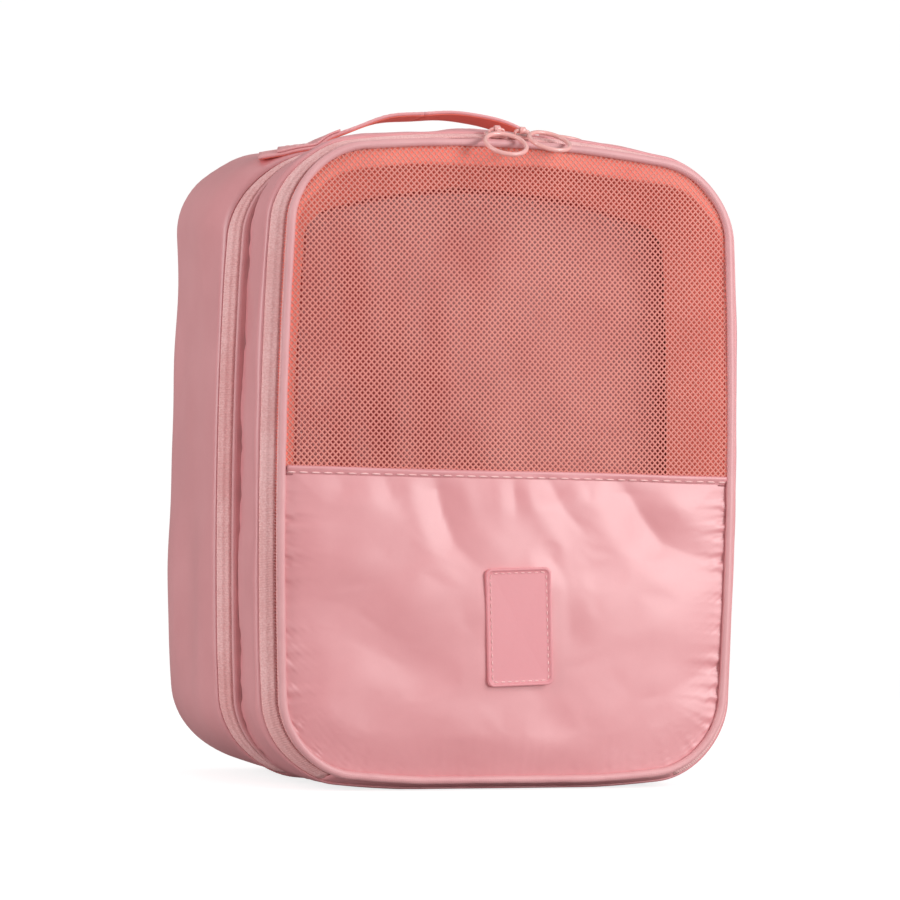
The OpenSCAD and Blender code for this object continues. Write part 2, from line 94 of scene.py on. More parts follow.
def add_node(
    tree: bpy.types.NodeTree,
    kind: str,
    links: dict[str | int, Any] | None = None,
    **settings: Any,
) -> bpy.types.Node:
    """Adds one node to a tree.

    Args:
        tree: the shader or geometry tree.
        kind: the node's type name.
        links: input socket to the value or the output socket that feeds it.
        settings: the node's own properties.

    Returns:
        The new node.
    """
    node = tree.nodes.new(kind)
    for key, value in settings.items():
        setattr(node, key, value)
    for key, value in (links or {}).items():
        if isinstance(value, Socket):
            tree.links.new(value, node.inputs[key])
        else:
            node.inputs[key].default_value = value
    return node


def full_turn(count: int) -> Grid:
    """Gives evenly spaced angles once round a circle, in radians."""
    return np.arange(count) / count * 2 * np.pi


def put_in_scene(name: str, data: bpy.types.ID) -> Piece:
    """Makes an object of a mesh, a light or a camera and links it to the scene."""
    made = bpy.data.objects.new(name, data)
    bpy.context.scene.collection.objects.link(made)
    return made


def read_points(mesh: bpy.types.Mesh) -> Grid:
    """Reads a mesh's points, one row each."""
    points = np.empty(len(mesh.vertices) * 3, np.float32)
    mesh.vertices.foreach_get("co", points)
    return points.reshape(-1, 3)


class Ripples:
    """Soft uneven waves in cloth, the same at each run."""

    def __init__(
        self, seed: int, waves: Sequence[float], stretch: Sequence[float], count: int = 26
    ) -> None:
        """Draws the waves.

        Args:
            seed: fixes the waves' places and directions.
            waves: shortest and longest wavelength in millimetres.
            stretch: how much longer the waves run along x, y and z.
            count: how many waves are summed.
        """
        rng = np.random.default_rng(seed)
        self.lengths = np.exp(rng.uniform(*np.log(waves), count))
        way = rng.normal(size=(count, 3)) / np.asarray(stretch, float)
        way /= np.linalg.norm(way, axis=1, keepdims=True)
        self.ways = way / np.asarray(stretch, float) * 2 * np.pi / self.lengths[:, None]
        self.phases = rng.uniform(0, 2 * np.pi, count)
        self.weights = (self.lengths / self.lengths.max()) ** 0.8
        self.weights /= np.sqrt((self.weights**2).sum() / 2)

    def at(self, points: Grid) -> Grid:
        """Reads the ripples, about -2 to 2, at points in millimetres."""
        turns = np.tensordot(points, self.ways.T, axes=1) + self.phases
        return (np.sin(turns) * self.weights).sum(axis=-1)

    def creased(self, points: Grid) -> Grid:
        """Reads the ripples with narrow valleys, at -1, and broad crowns, at 1."""
        return 1 - 2 * np.exp(-np.abs(self.at(points)) * 1.6)


# ------------------------------------------------------------------- outline


@dataclass(frozen=True)
class Profile:
    """A cloth layer's cross-section: depths, fullness out and up, and inset."""

    depth: Grid
    out: Grid
    up: Grid
    inset: Grid

    @staticmethod
    def through(*points: Sequence[float]) -> "Profile":
        """Makes a profile through stations: the depth, out, up and inset of each."""
        return Profile(*np.asarray(points, float).T)


@dataclass(frozen=True)
class BagOutline:
    """The bag's rounded outline at any depth, and the sizes that shape it.

    The frame is the lid's rounded rectangle. The walls swell past it by their sides and
    rises, read at their depths. The left wall is also pressed in or out a little.
    """

    frame_w: float = 236
    frame_h: float = 313
    frame_lift: float = 3
    corner_r: float = 36
    corner_grow: float = 0.15
    side_bow: float = 4.4
    top_bow: float = 10
    base_bow: float = 6.5
    base_flat: float = 0.36
    base_full: float = 5.2
    bag_depth: float = 156
    depths: tuple[float, ...] = (9.6, 23, 36.4, 49.8, 54.55, 81.7, 108.85, 136)
    sides: tuple[float, ...] = (5.2, 6.6, 6.4, 5.2, 14, 17.6, 18.5, 17.9)
    rises: tuple[float, ...] = (4.5, 5.4, 5.2, 4.0, 4.5, 5.6, 6.0, 5.6)
    shoulder_depths: tuple[float, ...] = (0, 9.6, 54.55, 81.7, 108.85, 136)
    shoulders: tuple[float, ...] = (0, 4.5, 9, 6, 1, 0)
    left_depths: tuple[float, ...] = (
        4.4, 6, 11, 20, 36, 46, 49, 50.6, 52, 54.5, 62, 75, 90
    )
    left_sides: tuple[float, ...] = (
        0.2, 1.2, 2.9, 2.6, 1.0, -0.9, -1.2, 0.9, 1.4, 2.0, 1.6, 0.6, 0.0
    )
    left_from: float = 0.82
    left_ramp: float = 0.1
    left_fade: float = 1.25
    tightest_r: float = 2.0
    corner_steps: int = 18
    edge_steps: int = 60

    @property
    def half_w(self) -> float:
        """Half the frame's width."""
        return self.frame_w / 2

    @property
    def frame_top(self) -> float:
        """Height of the frame's top."""
        return self.frame_h + self.frame_lift

    @property
    def steps(self) -> int:
        """Points once round the bag, from the middle of the base."""
        return 4 * (self.corner_steps + self.edge_steps)

    @property
    def zip_from(self) -> int:
        """Where the zips start: 15 degrees into the lower right corner."""
        return self.edge_steps // 2 + self.corner_steps // 6

    @property
    def lower_right(self) -> int:
        """The middle of the lower right corner."""
        return self.edge_steps // 2 + self.corner_steps // 2

    def weights(self) -> Grid:
        """Gives what each outline point takes from the outline's sizes.

        Returns:
            A row for each point: its shares of the half width and of the corner radius
            across, then of the height and of the corner radius upwards.
        """
        half = np.arange(self.edge_steps // 2) / (self.edge_steps // 2)
        edge = np.arange(self.edge_steps) / self.edge_steps
        turn = np.arange(self.corner_steps) / self.corner_steps * np.pi / 2
        s, c, one = np.sin(turn), np.cos(turn), np.ones_like(edge)
        rows = [
            (half, 0 * half, 0 * half, 0 * half),
            (1 + 0 * s, s, 0 * s, 1 - c),
            (one, one, edge, 1 - 2 * edge),
            (1 + 0 * s, c, 1 + 0 * s, s - 1),
            (1 - 2 * edge, 0 * edge, one, 0 * edge),
            (-1 + 0 * s, -s, 1 + 0 * s, c - 1),
            (-one, -one, 1 - edge, 2 * edge - 1),
            (-1 + 0 * s, -c, 0 * s, 1 - s),
            (half - 1, 0 * half, 0 * half, 0 * half),
        ]
        return np.concatenate([np.stack(row, 1) for row in rows])

    def shoulder(self, depth: Grid) -> Grid:
        """Gives the extra drop of the top towards the corners."""
        return np.interp(depth, self.shoulder_depths, self.shoulders)

    def loops(self, profile: Profile) -> Grid:
        """Lays a profile round the bag.

        Args:
            profile: the layer's cross-section.

        Returns:
            Points in millimetres, one row for each step round the bag.
        """
        along, round_, high, lift = (w[:, None] for w in self.weights().T)
        half = self.half_w + profile.out - profile.inset
        top = self.frame_top + profile.up - profile.inset
        base = profile.inset + self.frame_lift * np.maximum(
            1 - profile.out / self.base_full, 0
        )
        r = self.corner_r + self.corner_grow * profile.out - profile.inset
        r = np.maximum(r, self.tightest_r)
        x = along * (half - r) + round_ * r
        z = base + (top - base) * high + lift * r
        mid, tall = (top + base) / 2, (top - base) / 2
        u, v = np.abs(x) / half, np.abs(z - mid) / tall
        ramp = (np.maximum(u - self.base_flat, 0) / (1 - self.base_flat)) ** 1.5
        drop = (self.top_bow + self.shoulder(profile.depth)) * u**2
        x = x - np.sign(x) * self.side_bow * u * v**2
        z = z + v * np.where(z > mid, -drop, self.base_bow * ramp)
        y = np.broadcast_to(profile.depth, x.shape)
        left = np.clip((-x / half - self.left_from) / self.left_ramp, 0, 1)
        left = left * np.clip(self.left_fade - v**3, 0, 1)
        x = x - left * np.interp(y, self.left_depths, self.left_sides)
        return np.stack([x, y, z], axis=-1)

    def laid(self, *stations: Sequence[float]) -> Grid:
        """Lays a profile round the bag from its stations: depth, out, up and inset."""
        return self.loops(Profile.through(*stations))

    def skin(self, depths: Sequence[float], inset: float = 0.0) -> list[tuple]:
        """Gives stations on the outside of the gussets.

        Args:
            depths: where they lie.
            inset: how far they are sunk into the wall.

        Returns:
            A station for each depth.
        """
        return [
            (
                d,
                float(np.interp(d, self.depths, self.sides)),
                float(np.interp(d, self.depths, self.rises)),
                inset,
            )
            for d in depths
        ]

    def top_drop(self, share: float, depth: float) -> float:
        """Gives the top's drop at a share of its half width."""
        return (self.top_bow + float(self.shoulder(depth))) * share**2


OUTLINE = BagOutline()


# ------------------------------------------------------------------ finishes


class Coat(Enum):
    """How a hard part was coated."""

    LACQUER = "lacquered zinc"
    MOULDED = "moulded rubber"


@dataclass(frozen=True)
class WovenCloth:
    """Cloth, tape or yarn: fine threads, soft sheen, faint mottling.

    Lengths are in millimetres, but the relief's depth is in metres and the slubs are
    counted per metre. The bump is the relief's strength, the speckle is how far flecks
    shift the shade, and through is a painted glow: an emission that stands in for the
    light that thin cloth lets through.
    """

    name: str
    colour: str
    shade: str
    thread_mm: float
    rib: float = 1.0
    bump: float = 0.25
    roughness: float = 0.55
    sheen: float = 0.25
    mottle_mm: float = 38.0
    gloss: float = 0.35
    speckle: float = 0.06
    speckle_mm: float = 0.8
    through: float = 0.0
    slub_scale: float = 420.0
    relief_m: float = 0.0003
    wear: float = 0.07

    def material(self) -> bpy.types.Material:
        """Makes the cloth's material, with its weave on the piece's own UV map.

        Returns:
            The material.
        """
        made = bpy.data.materials.new(self.name)
        made.use_nodes = True
        tree = made.node_tree
        node = partial(add_node, tree)
        shader = tree.nodes["Principled BSDF"]
        place = node("ShaderNodeTexCoord")
        weave = node(
            "ShaderNodeMapping", {"Vector": place.outputs["UV"], "Scale": (1, self.rib, 1)}
        )
        # A wave texture's bands repeat each 2 pi / 20 of its scale's inverse.
        threads = [
            node(
                "ShaderNodeTexWave",
                {
                    "Vector": weave.outputs[0],
                    "Scale": 2 * math.pi / (20 * self.thread_mm * MM),
                    "Distortion": 1.2,
                    "Detail": 1.0,
                    "Detail Scale": 6.0,
                },
                bands_direction=way,
            )
            for way in ("X", "Y")
        ]
        cloth = node(
            "ShaderNodeMath",
            {0: threads[0].outputs["Fac"], 1: threads[1].outputs["Fac"]},
            operation="ADD",
        )
        slub, mottle, fleck = (
            node(
                "ShaderNodeTexNoise",
                {
                    "Vector": place.outputs["Object"],
                    "Scale": scale,
                    "Detail": detail,
                    "Roughness": roughness,
                },
            )
            for scale, detail, roughness in (
                (self.slub_scale, 3.0, 0.5),
                (1 / (self.mottle_mm * MM), 4.0, 0.6),
                (1 / (self.speckle_mm * MM), 1.0, 0.5),
            )
        )
        relief = node(
            "ShaderNodeMath", {0: cloth.outputs[0], 1: slub.outputs["Fac"]}, operation="ADD"
        )
        blend = node(
            "ShaderNodeMapRange",
            {"Value": mottle.outputs["Fac"], "From Min": 0.36, "From Max": 0.64},
        )
        flecked = node(
            "ShaderNodeMapRange",
            {
                "Value": fleck.outputs["Fac"],
                "From Min": 0.35,
                "From Max": 0.65,
                "To Min": -self.speckle,
                "To Max": self.speckle,
            },
        )
        share = node(
            "ShaderNodeMath", {0: blend.outputs[0], 1: flecked.outputs[0]}, operation="ADD"
        )
        tint = self._tint(tree, share.outputs[0])
        gloss = node(
            "ShaderNodeMapRange",
            {
                "Value": mottle.outputs["Fac"],
                "To Min": self.roughness - self.wear,
                "To Max": self.roughness + self.wear,
            },
        )
        dent = node(
            "ShaderNodeBump",
            {"Height": relief.outputs[0], "Strength": self.bump, "Distance": self.relief_m},
        )
        tree.links.new(tint, shader.inputs["Base Color"])
        tree.links.new(gloss.outputs[0], shader.inputs["Roughness"])
        tree.links.new(dent.outputs[0], shader.inputs["Normal"])
        shader.inputs["Sheen Weight"].default_value = self.sheen
        shader.inputs["Sheen Roughness"].default_value = 0.4
        shader.inputs["Sheen Tint"].default_value = linear(self.colour)
        shader.inputs["Specular IOR Level"].default_value = self.gloss
        # Painted glow: this emission stands in for light coming through thin cloth.
        shader.inputs["Emission Color"].default_value = linear(self.colour)
        shader.inputs["Emission Strength"].default_value = self.through
        return made

    def _tint(self, tree: bpy.types.NodeTree, share: Socket) -> Socket:
        """Mixes the cloth's two shades.

        Args:
            tree: the material's tree.
            share: 0 for the shade, 1 for the colour.

        Returns:
            The mixed colour's socket.
        """
        ramp = add_node(tree, "ShaderNodeValToRGB", {"Fac": share})
        ramp.color_ramp.elements[0].color = linear(self.shade)
        ramp.color_ramp.elements[1].color = linear(self.colour)
        return ramp.outputs["Color"]


@dataclass(frozen=True)
class HardFinish:
    """A smooth hard or rubbery finish with fine unevenness, its grain in millimetres."""

    name: str
    coat: Coat
    colour: str
    roughness: float
    grain_mm: float
    bump: float = 0.15
    relief_m: float = 0.0002
    wear: float = 0.06

    def material(self) -> bpy.types.Material:
        """Makes the finish's material.

        Returns:
            The material.
        """
        made = bpy.data.materials.new(self.name)
        made.use_nodes = True
        tree = made.node_tree
        node = partial(add_node, tree)
        shader = tree.nodes["Principled BSDF"]
        place = node("ShaderNodeTexCoord")
        grain = node(
            "ShaderNodeTexNoise",
            {
                "Vector": place.outputs["Object"],
                "Scale": 1 / (self.grain_mm * MM),
                "Detail": 3.0,
            },
        )
        wear = node(
            "ShaderNodeMapRange",
            {
                "Value": grain.outputs["Fac"],
                "To Min": self.roughness - self.wear,
                "To Max": self.roughness + self.wear,
            },
        )
        dent = node(
            "ShaderNodeBump",
            {
                "Height": grain.outputs["Fac"],
                "Strength": self.bump,
                "Distance": self.relief_m,
            },
        )
        tree.links.new(wear.outputs[0], shader.inputs["Roughness"])
        tree.links.new(dent.outputs[0], shader.inputs["Normal"])
        shader.inputs["Base Color"].default_value = linear(self.colour)
        if self.coat is Coat.LACQUER:
            shader.inputs["Coat Weight"].default_value = 0.6
            shader.inputs["Coat Roughness"].default_value = 0.12
        else:
            shader.inputs["Subsurface Weight"].default_value = 0.08
            shader.inputs["Subsurface Radius"].default_value = (0.002, 0.001, 0.001)
        return made


Finish = WovenCloth | HardFinish

# Nylon taffeta: a close plain weave of bright yarn, pressed smooth, so it shines broadly
# on its folds. Its threads are a tenth of a millimetre and are drawn coarser, to show.
SHELL_CLOTH = WovenCloth(
    "nylon_taffeta",
    "#de979b",
    "#d88f93",
    0.5,
    bump=0.06,
    roughness=0.42,
    gloss=0.85,
    mottle_mm=55,
)
# The same taffeta, cut on the bias and stretched over piping cord, which opens the
# weave: paler, with less shine.
PIPING_CLOTH = WovenCloth(
    "nylon_taffeta_piping", "#e0a6a8", "#da9da0", 0.9, bump=0.15, roughness=0.45, gloss=0.5
)
# Polyester zip tape: woven in ribs from dull yarn, so it is matt and flecked. Its ribs
# are drawn coarser than they are, to show.
TAPE_CLOTH = WovenCloth(
    "polyester_zip_tape",
    "#fac8c7",
    "#ecb0af",
    1.2,
    rib=0.5,
    bump=0.5,
    roughness=0.8,
    speckle=0.4,
    speckle_mm=0.9,
)
# Coral polyester lining: a thin plain weave, brighter in colour than the shell. It has a
# painted glow, an emission that stands in for light coming through it, so it glows a
# little where it is shaded.
LINING_CLOTH = WovenCloth(
    "polyester_lining", "#f28271", "#ea796a", 0.8, roughness=0.6, through=0.07
)
# Lining on the partition's face: the same weave, drawn smooth over foam, so it is shiny
# where it swells. Its dark red is painted shade: the compartment's inside, which the net
# leaves unshadowed, is darkened in the colour.
PARTITION_CLOTH_PAINTED_SHADE = WovenCloth(
    "polyester_lining_painted_shade", "#922c26", "#852520", 0.8, roughness=0.34, gloss=0.8
)
# Polyester net, warp-knitted and pressed: soft matt strands, flatter than round.
NET_YARN = WovenCloth(
    "warp_knit_net_yarn", "#e08f84", "#d8857b", 0.5, bump=0.1, roughness=0.6
)
# Nylon strap cloth, folded and sewn down both edges: a plain weave, nearly matt.
STRAP_CLOTH = WovenCloth("nylon_strap", "#eaa8aa", "#e09b9e", 1.1, roughness=0.6)
# Foam and boards inside the walls: open-cell polyurethane cut from a block, cream and
# quite matt.
FOAM = WovenCloth("polyurethane_foam", "#f6efe4", "#ece2d4", 1.4, roughness=0.9)
# Spun polyester sewing thread: paler than the cloth, so each stitch shows.
THREAD = WovenCloth("polyester_thread", "#f9cfcd", "#f0bcbb", 0.4, roughness=0.6)
# Nylon zip coil: one drawn filament wound and set by heat, slightly glossy.
COIL_NYLON = HardFinish("nylon_zip_coil", Coat.MOULDED, "#e39a9c", 0.4, 3.0)
# Zinc sliders and rings, die-cast and dipped in pink lacquer: smooth, with a clear
# gloss over the colour.
LACQUERED_ZINC = HardFinish("lacquered_zinc", Coat.LACQUER, "#efb0ab", 0.3, 6.0, 0.05)
# Soft PVC label, moulded: half matt, with a faint skin.
LABEL_RUBBER = HardFinish("soft_pvc_label", Coat.MOULDED, "#e0949a", 0.46, 2.0)


# -------------------------------------------------------------------- meshes


@dataclass
class Shell:
    """A closed skin: its points in millimetres, its faces and their cloth places."""

    points: Grid
    faces: list[tuple[int, ...]]
    uv: Grid


def loft(points: Grid, wrap_rows: bool = False, wrap_columns: bool = True) -> Shell:
    """Skins a grid of points as a shell whose faces look outwards.

    Where the columns wrap and the rows don't, the first and last rows are capped.

    Args:
        points: rows by columns of places in millimetres.
        wrap_rows: the last row joins the first.
        wrap_columns: the last column joins the first.

    Returns:
        The shell.
    """
    rows, columns = points.shape[:2]
    i = np.arange(rows if wrap_rows else rows - 1)
    j = np.arange(columns if wrap_columns else columns - 1)
    a, b = np.meshgrid(i, j, indexing="ij")
    c, d = (a + 1) % rows, (b + 1) % columns
    faces = np.stack(
        [p * columns + q for p, q in ((a, b), (c, b), (c, d), (a, d))], -1
    ).reshape(-1, 4)
    run = np.linalg.norm(np.roll(points, -1, 0) - points, axis=2).mean(axis=1)
    side = np.linalg.norm(np.roll(points, -1, 1) - points, axis=2).mean(axis=0)
    run, side = (np.r_[0.0, np.cumsum(length)] * MM for length in (run, side))
    uv = np.stack(
        [
            np.stack([run[p], side[q]], -1)
            for p, q in ((a, b), (a + 1, b), (a + 1, b + 1), (a, b + 1))
        ],
        -2,
    ).reshape(-1, 4, 2)
    if wrap_columns and not wrap_rows:
        k = np.arange(columns // 2 - 1)
        first = np.stack([k, k + 1, columns - 2 - k, columns - 1 - k], -1)
        last = first[:, ::-1] + (rows - 1) * columns
        faces = np.r_[faces, first, last]
        uv = np.r_[uv, np.zeros((2 * len(k), 4, 2))]
    flat = points.reshape(-1, 3)
    p, q, r, t = (flat[faces[:, n]] for n in range(4))
    volume = (p * np.cross(q, r)).sum() + (p * np.cross(r, t)).sum()
    if volume < 0:
        faces, uv = faces[:, ::-1], uv[:, ::-1]
    return Shell(flat, [tuple(face) for face in faces.tolist()], uv.reshape(-1, 2))


def directions(surface: Grid, wrap: bool) -> Grid:
    """Gives unit directions square to a surface, away from the bag's middle.

    Args:
        surface: rows by columns of places.
        wrap: the last row joins the first.

    Returns:
        A direction for each place.
    """
    if wrap:
        along = np.roll(surface, -1, 0) - np.roll(surface, 1, 0)
    else:
        along = np.gradient(surface, axis=0)
    way = np.cross(along, np.gradient(surface, axis=1))
    way /= np.linalg.norm(way, axis=-1, keepdims=True) + 1e-9
    middle = np.array([0.0, OUTLINE.bag_depth / 2, OUTLINE.frame_h / 2])
    turn = np.sign(((surface - middle) * way).sum(-1).mean())
    return way * (turn or 1.0)


def lifted(surface: Grid, amount: Grid | float, wrap: bool) -> Grid:
    """Moves a surface outwards by an amount, one for all points or one for each."""
    return surface + directions(surface, wrap) * np.asarray(amount)[..., None]


def walled(surface: Grid, thick: float, wrap: bool) -> Grid:
    """Gives a surface a wall, thick towards the inside, as a grid of closed rows."""
    return np.concatenate([surface, lifted(surface, -thick, wrap)[:, ::-1]], axis=1)


def tube(path: Grid, radius: Sequence[float] | float, sides: int = 12) -> Grid:
    """Lays rings along a path.

    Args:
        path: points of the middle line.
        radius: one for all rings or one for each.
        sides: points on each ring.

    Returns:
        A row of points for each ring.
    """
    ahead = np.gradient(path, axis=0)
    ahead /= np.linalg.norm(ahead, axis=1, keepdims=True)
    side = np.cross(ahead[0], [0.3, 0.5, 0.81])
    sides_at = []
    for way in ahead:
        side = side - way * (side @ way)
        side /= np.linalg.norm(side)
        sides_at.append(side)
    one = np.array(sides_at)[:, None]
    two = np.cross(ahead[:, None], one)
    turn = full_turn(sides)
    r = np.broadcast_to(np.asarray(radius, float), len(path))[:, None, None]
    return path[:, None] + r * (one * np.cos(turn)[:, None] + two * np.sin(turn)[:, None])


def patch(bottom: Grid, right: Grid, top: Grid, left: Grid) -> Grid:
    """Fills four edge curves with a smooth grid.

    Args:
        bottom: left to right.
        right: bottom to top.
        top: left to right.
        left: bottom to top.

    Returns:
        Rows from bottom to top.
    """
    s = np.linspace(0, 1, len(bottom))[None, :, None]
    t = np.linspace(0, 1, len(left))[:, None, None]
    return (
        (1 - t) * bottom[None]
        + t * top[None]
        + (1 - s) * left[:, None]
        + s * right[:, None]
        - (1 - s) * (1 - t) * bottom[0]
        - s * (1 - t) * bottom[-1]
        - (1 - s) * t * top[0]
        - s * t * top[-1]
    )


def even(curve: Grid, count: int) -> Grid:
    """Spaces a curve's points evenly.

    Args:
        curve: points.
        count: how many points to give.

    Returns:
        The new points.
    """
    run = np.r_[0, np.cumsum(np.linalg.norm(np.diff(curve, axis=0), axis=1))]
    at = np.linspace(0, run[-1], count)
    return np.stack([np.interp(at, run, curve[:, k]) for k in range(3)], 1)


def finer(surface: Grid) -> Grid:
    """Doubles a grid's rows and columns along a smooth surface.

    Args:
        surface: rows by columns of places.

    Returns:
        The finer grid.
    """
    for axis in (0, 1):
        rows = np.moveaxis(surface, axis, 0)
        ends = (2 * rows[:1] - rows[1:2], 2 * rows[-1:] - rows[-2:-1])
        wide = np.concatenate([ends[0], rows, ends[1]])
        between = (9 * (wide[1:-2] + wide[2:-1]) - wide[:-3] - wide[3:]) / 16
        made = np.empty((len(rows) + len(between), *rows.shape[1:]))
        made[0::2], made[1::2] = rows, between
        surface = np.moveaxis(made, 0, axis)
    return surface


def whole_panel(station: Sequence[float], count: int = 80) -> Grid:
    """Fills the bag's outline at one station with a grid.

    Args:
        station: its depth, out, up and inset.
        count: points along each side.

    Returns:
        Rows from the base up.
    """
    rim = OUTLINE.laid(station)[:, 0]
    quarter, start = OUTLINE.steps // 4, OUTLINE.lower_right
    parts = [
        even(np.take(rim, np.arange(k, k + quarter + 1), axis=0, mode="wrap"), count)
        for k in (start, start + quarter, start + 2 * quarter, start + 3 * quarter)
    ]
    return patch(parts[3], parts[0], parts[1][::-1], parts[2][::-1])


# How thick each layer is, in millimetres.
SHELL_THICK = 0.8
HINGE_THICK = 0.7
TAPE_THICK = 0.7
LINING_THICK = 0.5
FOAM_THICK = 1.8

# How the taffeta settles: its points' weight in kilograms, its stiffness and damping.
SETTLING = {
    "vertex_group_mass": "sewn",
    "quality": 6,
    "mass": 0.12,
    "tension_stiffness": 25,
    "compression_stiffness": 25,
    "shear_stiffness": 8,
    "bending_stiffness": 0.08,
    "tension_damping": 12,
    "compression_damping": 12,
    "use_pressure": True,
}
SETTLING_FRAMES = 20


def fit(piece: Piece, name: str, body: str | None, stands: bool) -> None:
    """Puts a finished piece on its body and reports it.

    Args:
        piece: the piece.
        name: its name, which is its solid's name too.
        body: the body that it rides on, or None where it crosses a joint.
        stands: it stands for the solid of its name.
    """
    if body:
        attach(piece, body)
        if stands:
            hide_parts(name)
    LOG.info("%s: %d faces", name, len(piece.data.polygons))


class Workroom:
    """Turns shells into objects, with one material for each finish."""

    def __init__(self) -> None:
        """Finds where the bag stands in the frame."""
        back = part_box("back_panel")[1][1] / MM
        self.shift = np.array([0.0, back - OUTLINE.bag_depth, 0.0])
        self.made: dict[str, bpy.types.Material] = {}

    def metres(self, points: Grid) -> Grid:
        """Turns the bag's own millimetres to the frame's metres."""
        return (np.asarray(points, float) + self.shift) * MM

    def material(self, finish: Finish) -> bpy.types.Material:
        """Gives the material of a finish, made once."""
        if finish.name not in self.made:
            self.made[finish.name] = finish.material()
        return self.made[finish.name]

    def settled(
        self, surface: Grid, cut: Grid, held: Grid, pressure: float, reach: float
    ) -> Grid:
        """Lets cloth that is cut larger than its place settle between its seams.

        Args:
            surface: rows by columns of places in millimetres.
            cut: the same grid at the size that the cloth was cut to.
            held: how firmly each place is sewn, from 0 to 1.
            pressure: push of the filling from inside.
            reach: the furthest that a place may move, in millimetres.

        Returns:
            The settled places.
        """
        shell = loft(surface, wrap_columns=False)
        way = directions(surface, False).reshape(-1, 3)
        faces = shell.faces
        a, b, c = shell.points[list(faces[0][:3])]
        if np.cross(b - a, c - b) @ way[faces[0][0]] < 0:
            faces = [face[::-1] for face in faces]
        mesh = bpy.data.meshes.new("settling")
        mesh.from_pydata(self.metres(shell.points).tolist(), [], faces)
        cloth = put_in_scene("settling", mesh)
        group = cloth.vertex_groups.new(name="sewn")
        for index, weight in enumerate(held.ravel().tolist()):
            if weight > 0:
                group.add([index], weight, "REPLACE")
        cloth.shape_key_add(name="placed")
        key = cloth.shape_key_add(name="cut")
        key.data.foreach_set("co", self.metres(cut).reshape(-1).astype(np.float32))
        modifier = cloth.modifiers.new("cloth", "CLOTH")
        for setting, value in SETTLING.items():
            setattr(modifier.settings, setting, value)
        modifier.settings.rest_shape_key = key
        modifier.settings.uniform_pressure_force = pressure
        modifier.settings.effector_weights.gravity = 0
        modifier.point_cache.frame_start = 1
        modifier.point_cache.frame_end = SETTLING_FRAMES
        scene = bpy.context.scene
        for frame in range(1, SETTLING_FRAMES + 1):
            scene.frame_set(frame)
        graph = bpy.context.evaluated_depsgraph_get()
        points = read_points(cloth.evaluated_get(graph).to_mesh())
        bpy.data.objects.remove(cloth)
        scene.frame_set(1)
        points = points.reshape(surface.shape).astype(float) / MM - self.shift
        move = points - surface
        length = np.linalg.norm(move, axis=-1, keepdims=True)
        LOG.info("settled, largest move %.1f mm", float(length.max()))
        soft = reach * np.tanh(length / reach)
        return surface + move * soft / np.maximum(length, 1e-9)

    def make(
        self,
        name: str,
        shells: Sequence[Shell],
        finish: Finish,
        body: str | None = None,
        stands: bool = True,
    ) -> Piece:
        """Makes one object of closed shells and puts it on its body.

        Args:
            name: the piece's name.
            shells: its closed skins.
            finish: what it is made of.
            body: the body that it rides on, or None where it crosses a joint.
            stands: it stands for the solid of its name.

        Returns:
            The object.
        """
        faces: list[tuple[int, ...]] = []
        first = 0
        for shell in shells:
            faces += [tuple(c + first for c in face) for face in shell.faces]
            first += len(shell.points)
        points = self.metres(np.concatenate([shell.points for shell in shells]))
        mesh = bpy.data.meshes.new(name)
        mesh.from_pydata(points.tolist(), [], faces)
        layer = mesh.uv_layers.new(name="cloth")
        uv = np.concatenate([shell.uv for shell in shells])
        layer.data.foreach_set("uv", uv.astype(np.float32).ravel())
        mesh.materials.append(self.material(finish))
        mesh.shade_smooth()
        piece = put_in_scene(name, mesh)
        fit(piece, name, body, stands)
        return piece

    def band(
        self,
        name: str,
        surface: Grid,
        thick: float,
        finish: Finish,
        body: str | None = None,
        wrap: bool = True,
    ) -> Piece:
        """Makes a cloth wall of even thickness from its outer surface.

        Args:
            name: the piece's name.
            surface: rows round the bag by columns across the wall.
            thick: the wall's thickness in millimetres.
            finish: what it is made of.
            body: the body that it rides on, or None where it crosses a joint.
            wrap: the last row joins the first.

        Returns:
            The object.
        """
        shell = loft(walled(surface, thick, wrap), wrap_rows=wrap)
        return self.make(name, [shell], finish, body)


def along_zip(surface: Grid) -> Grid:
    """Keeps the rows where the zips run, round the sides and the top."""
    return surface[OUTLINE.zip_from : OUTLINE.steps - OUTLINE.zip_from + 1]


def along_hinge(surface: Grid) -> Grid:
    """Keeps the rows where the hinge cloths run, below the zips' ends."""
    rows = np.arange(-OUTLINE.zip_from, OUTLINE.zip_from + 1)
    return surface[rows % OUTLINE.steps]


# ------------------------------------------------------------ geometry nodes


class NodeInput(Enum):
    """Kinds of named input on a geometry tree."""

    LENGTH = "NodeSocketFloat"
    COUNT = "NodeSocketInt"
    MATERIAL = "NodeSocketMaterial"
    SHAPE = "NodeSocketGeometry"


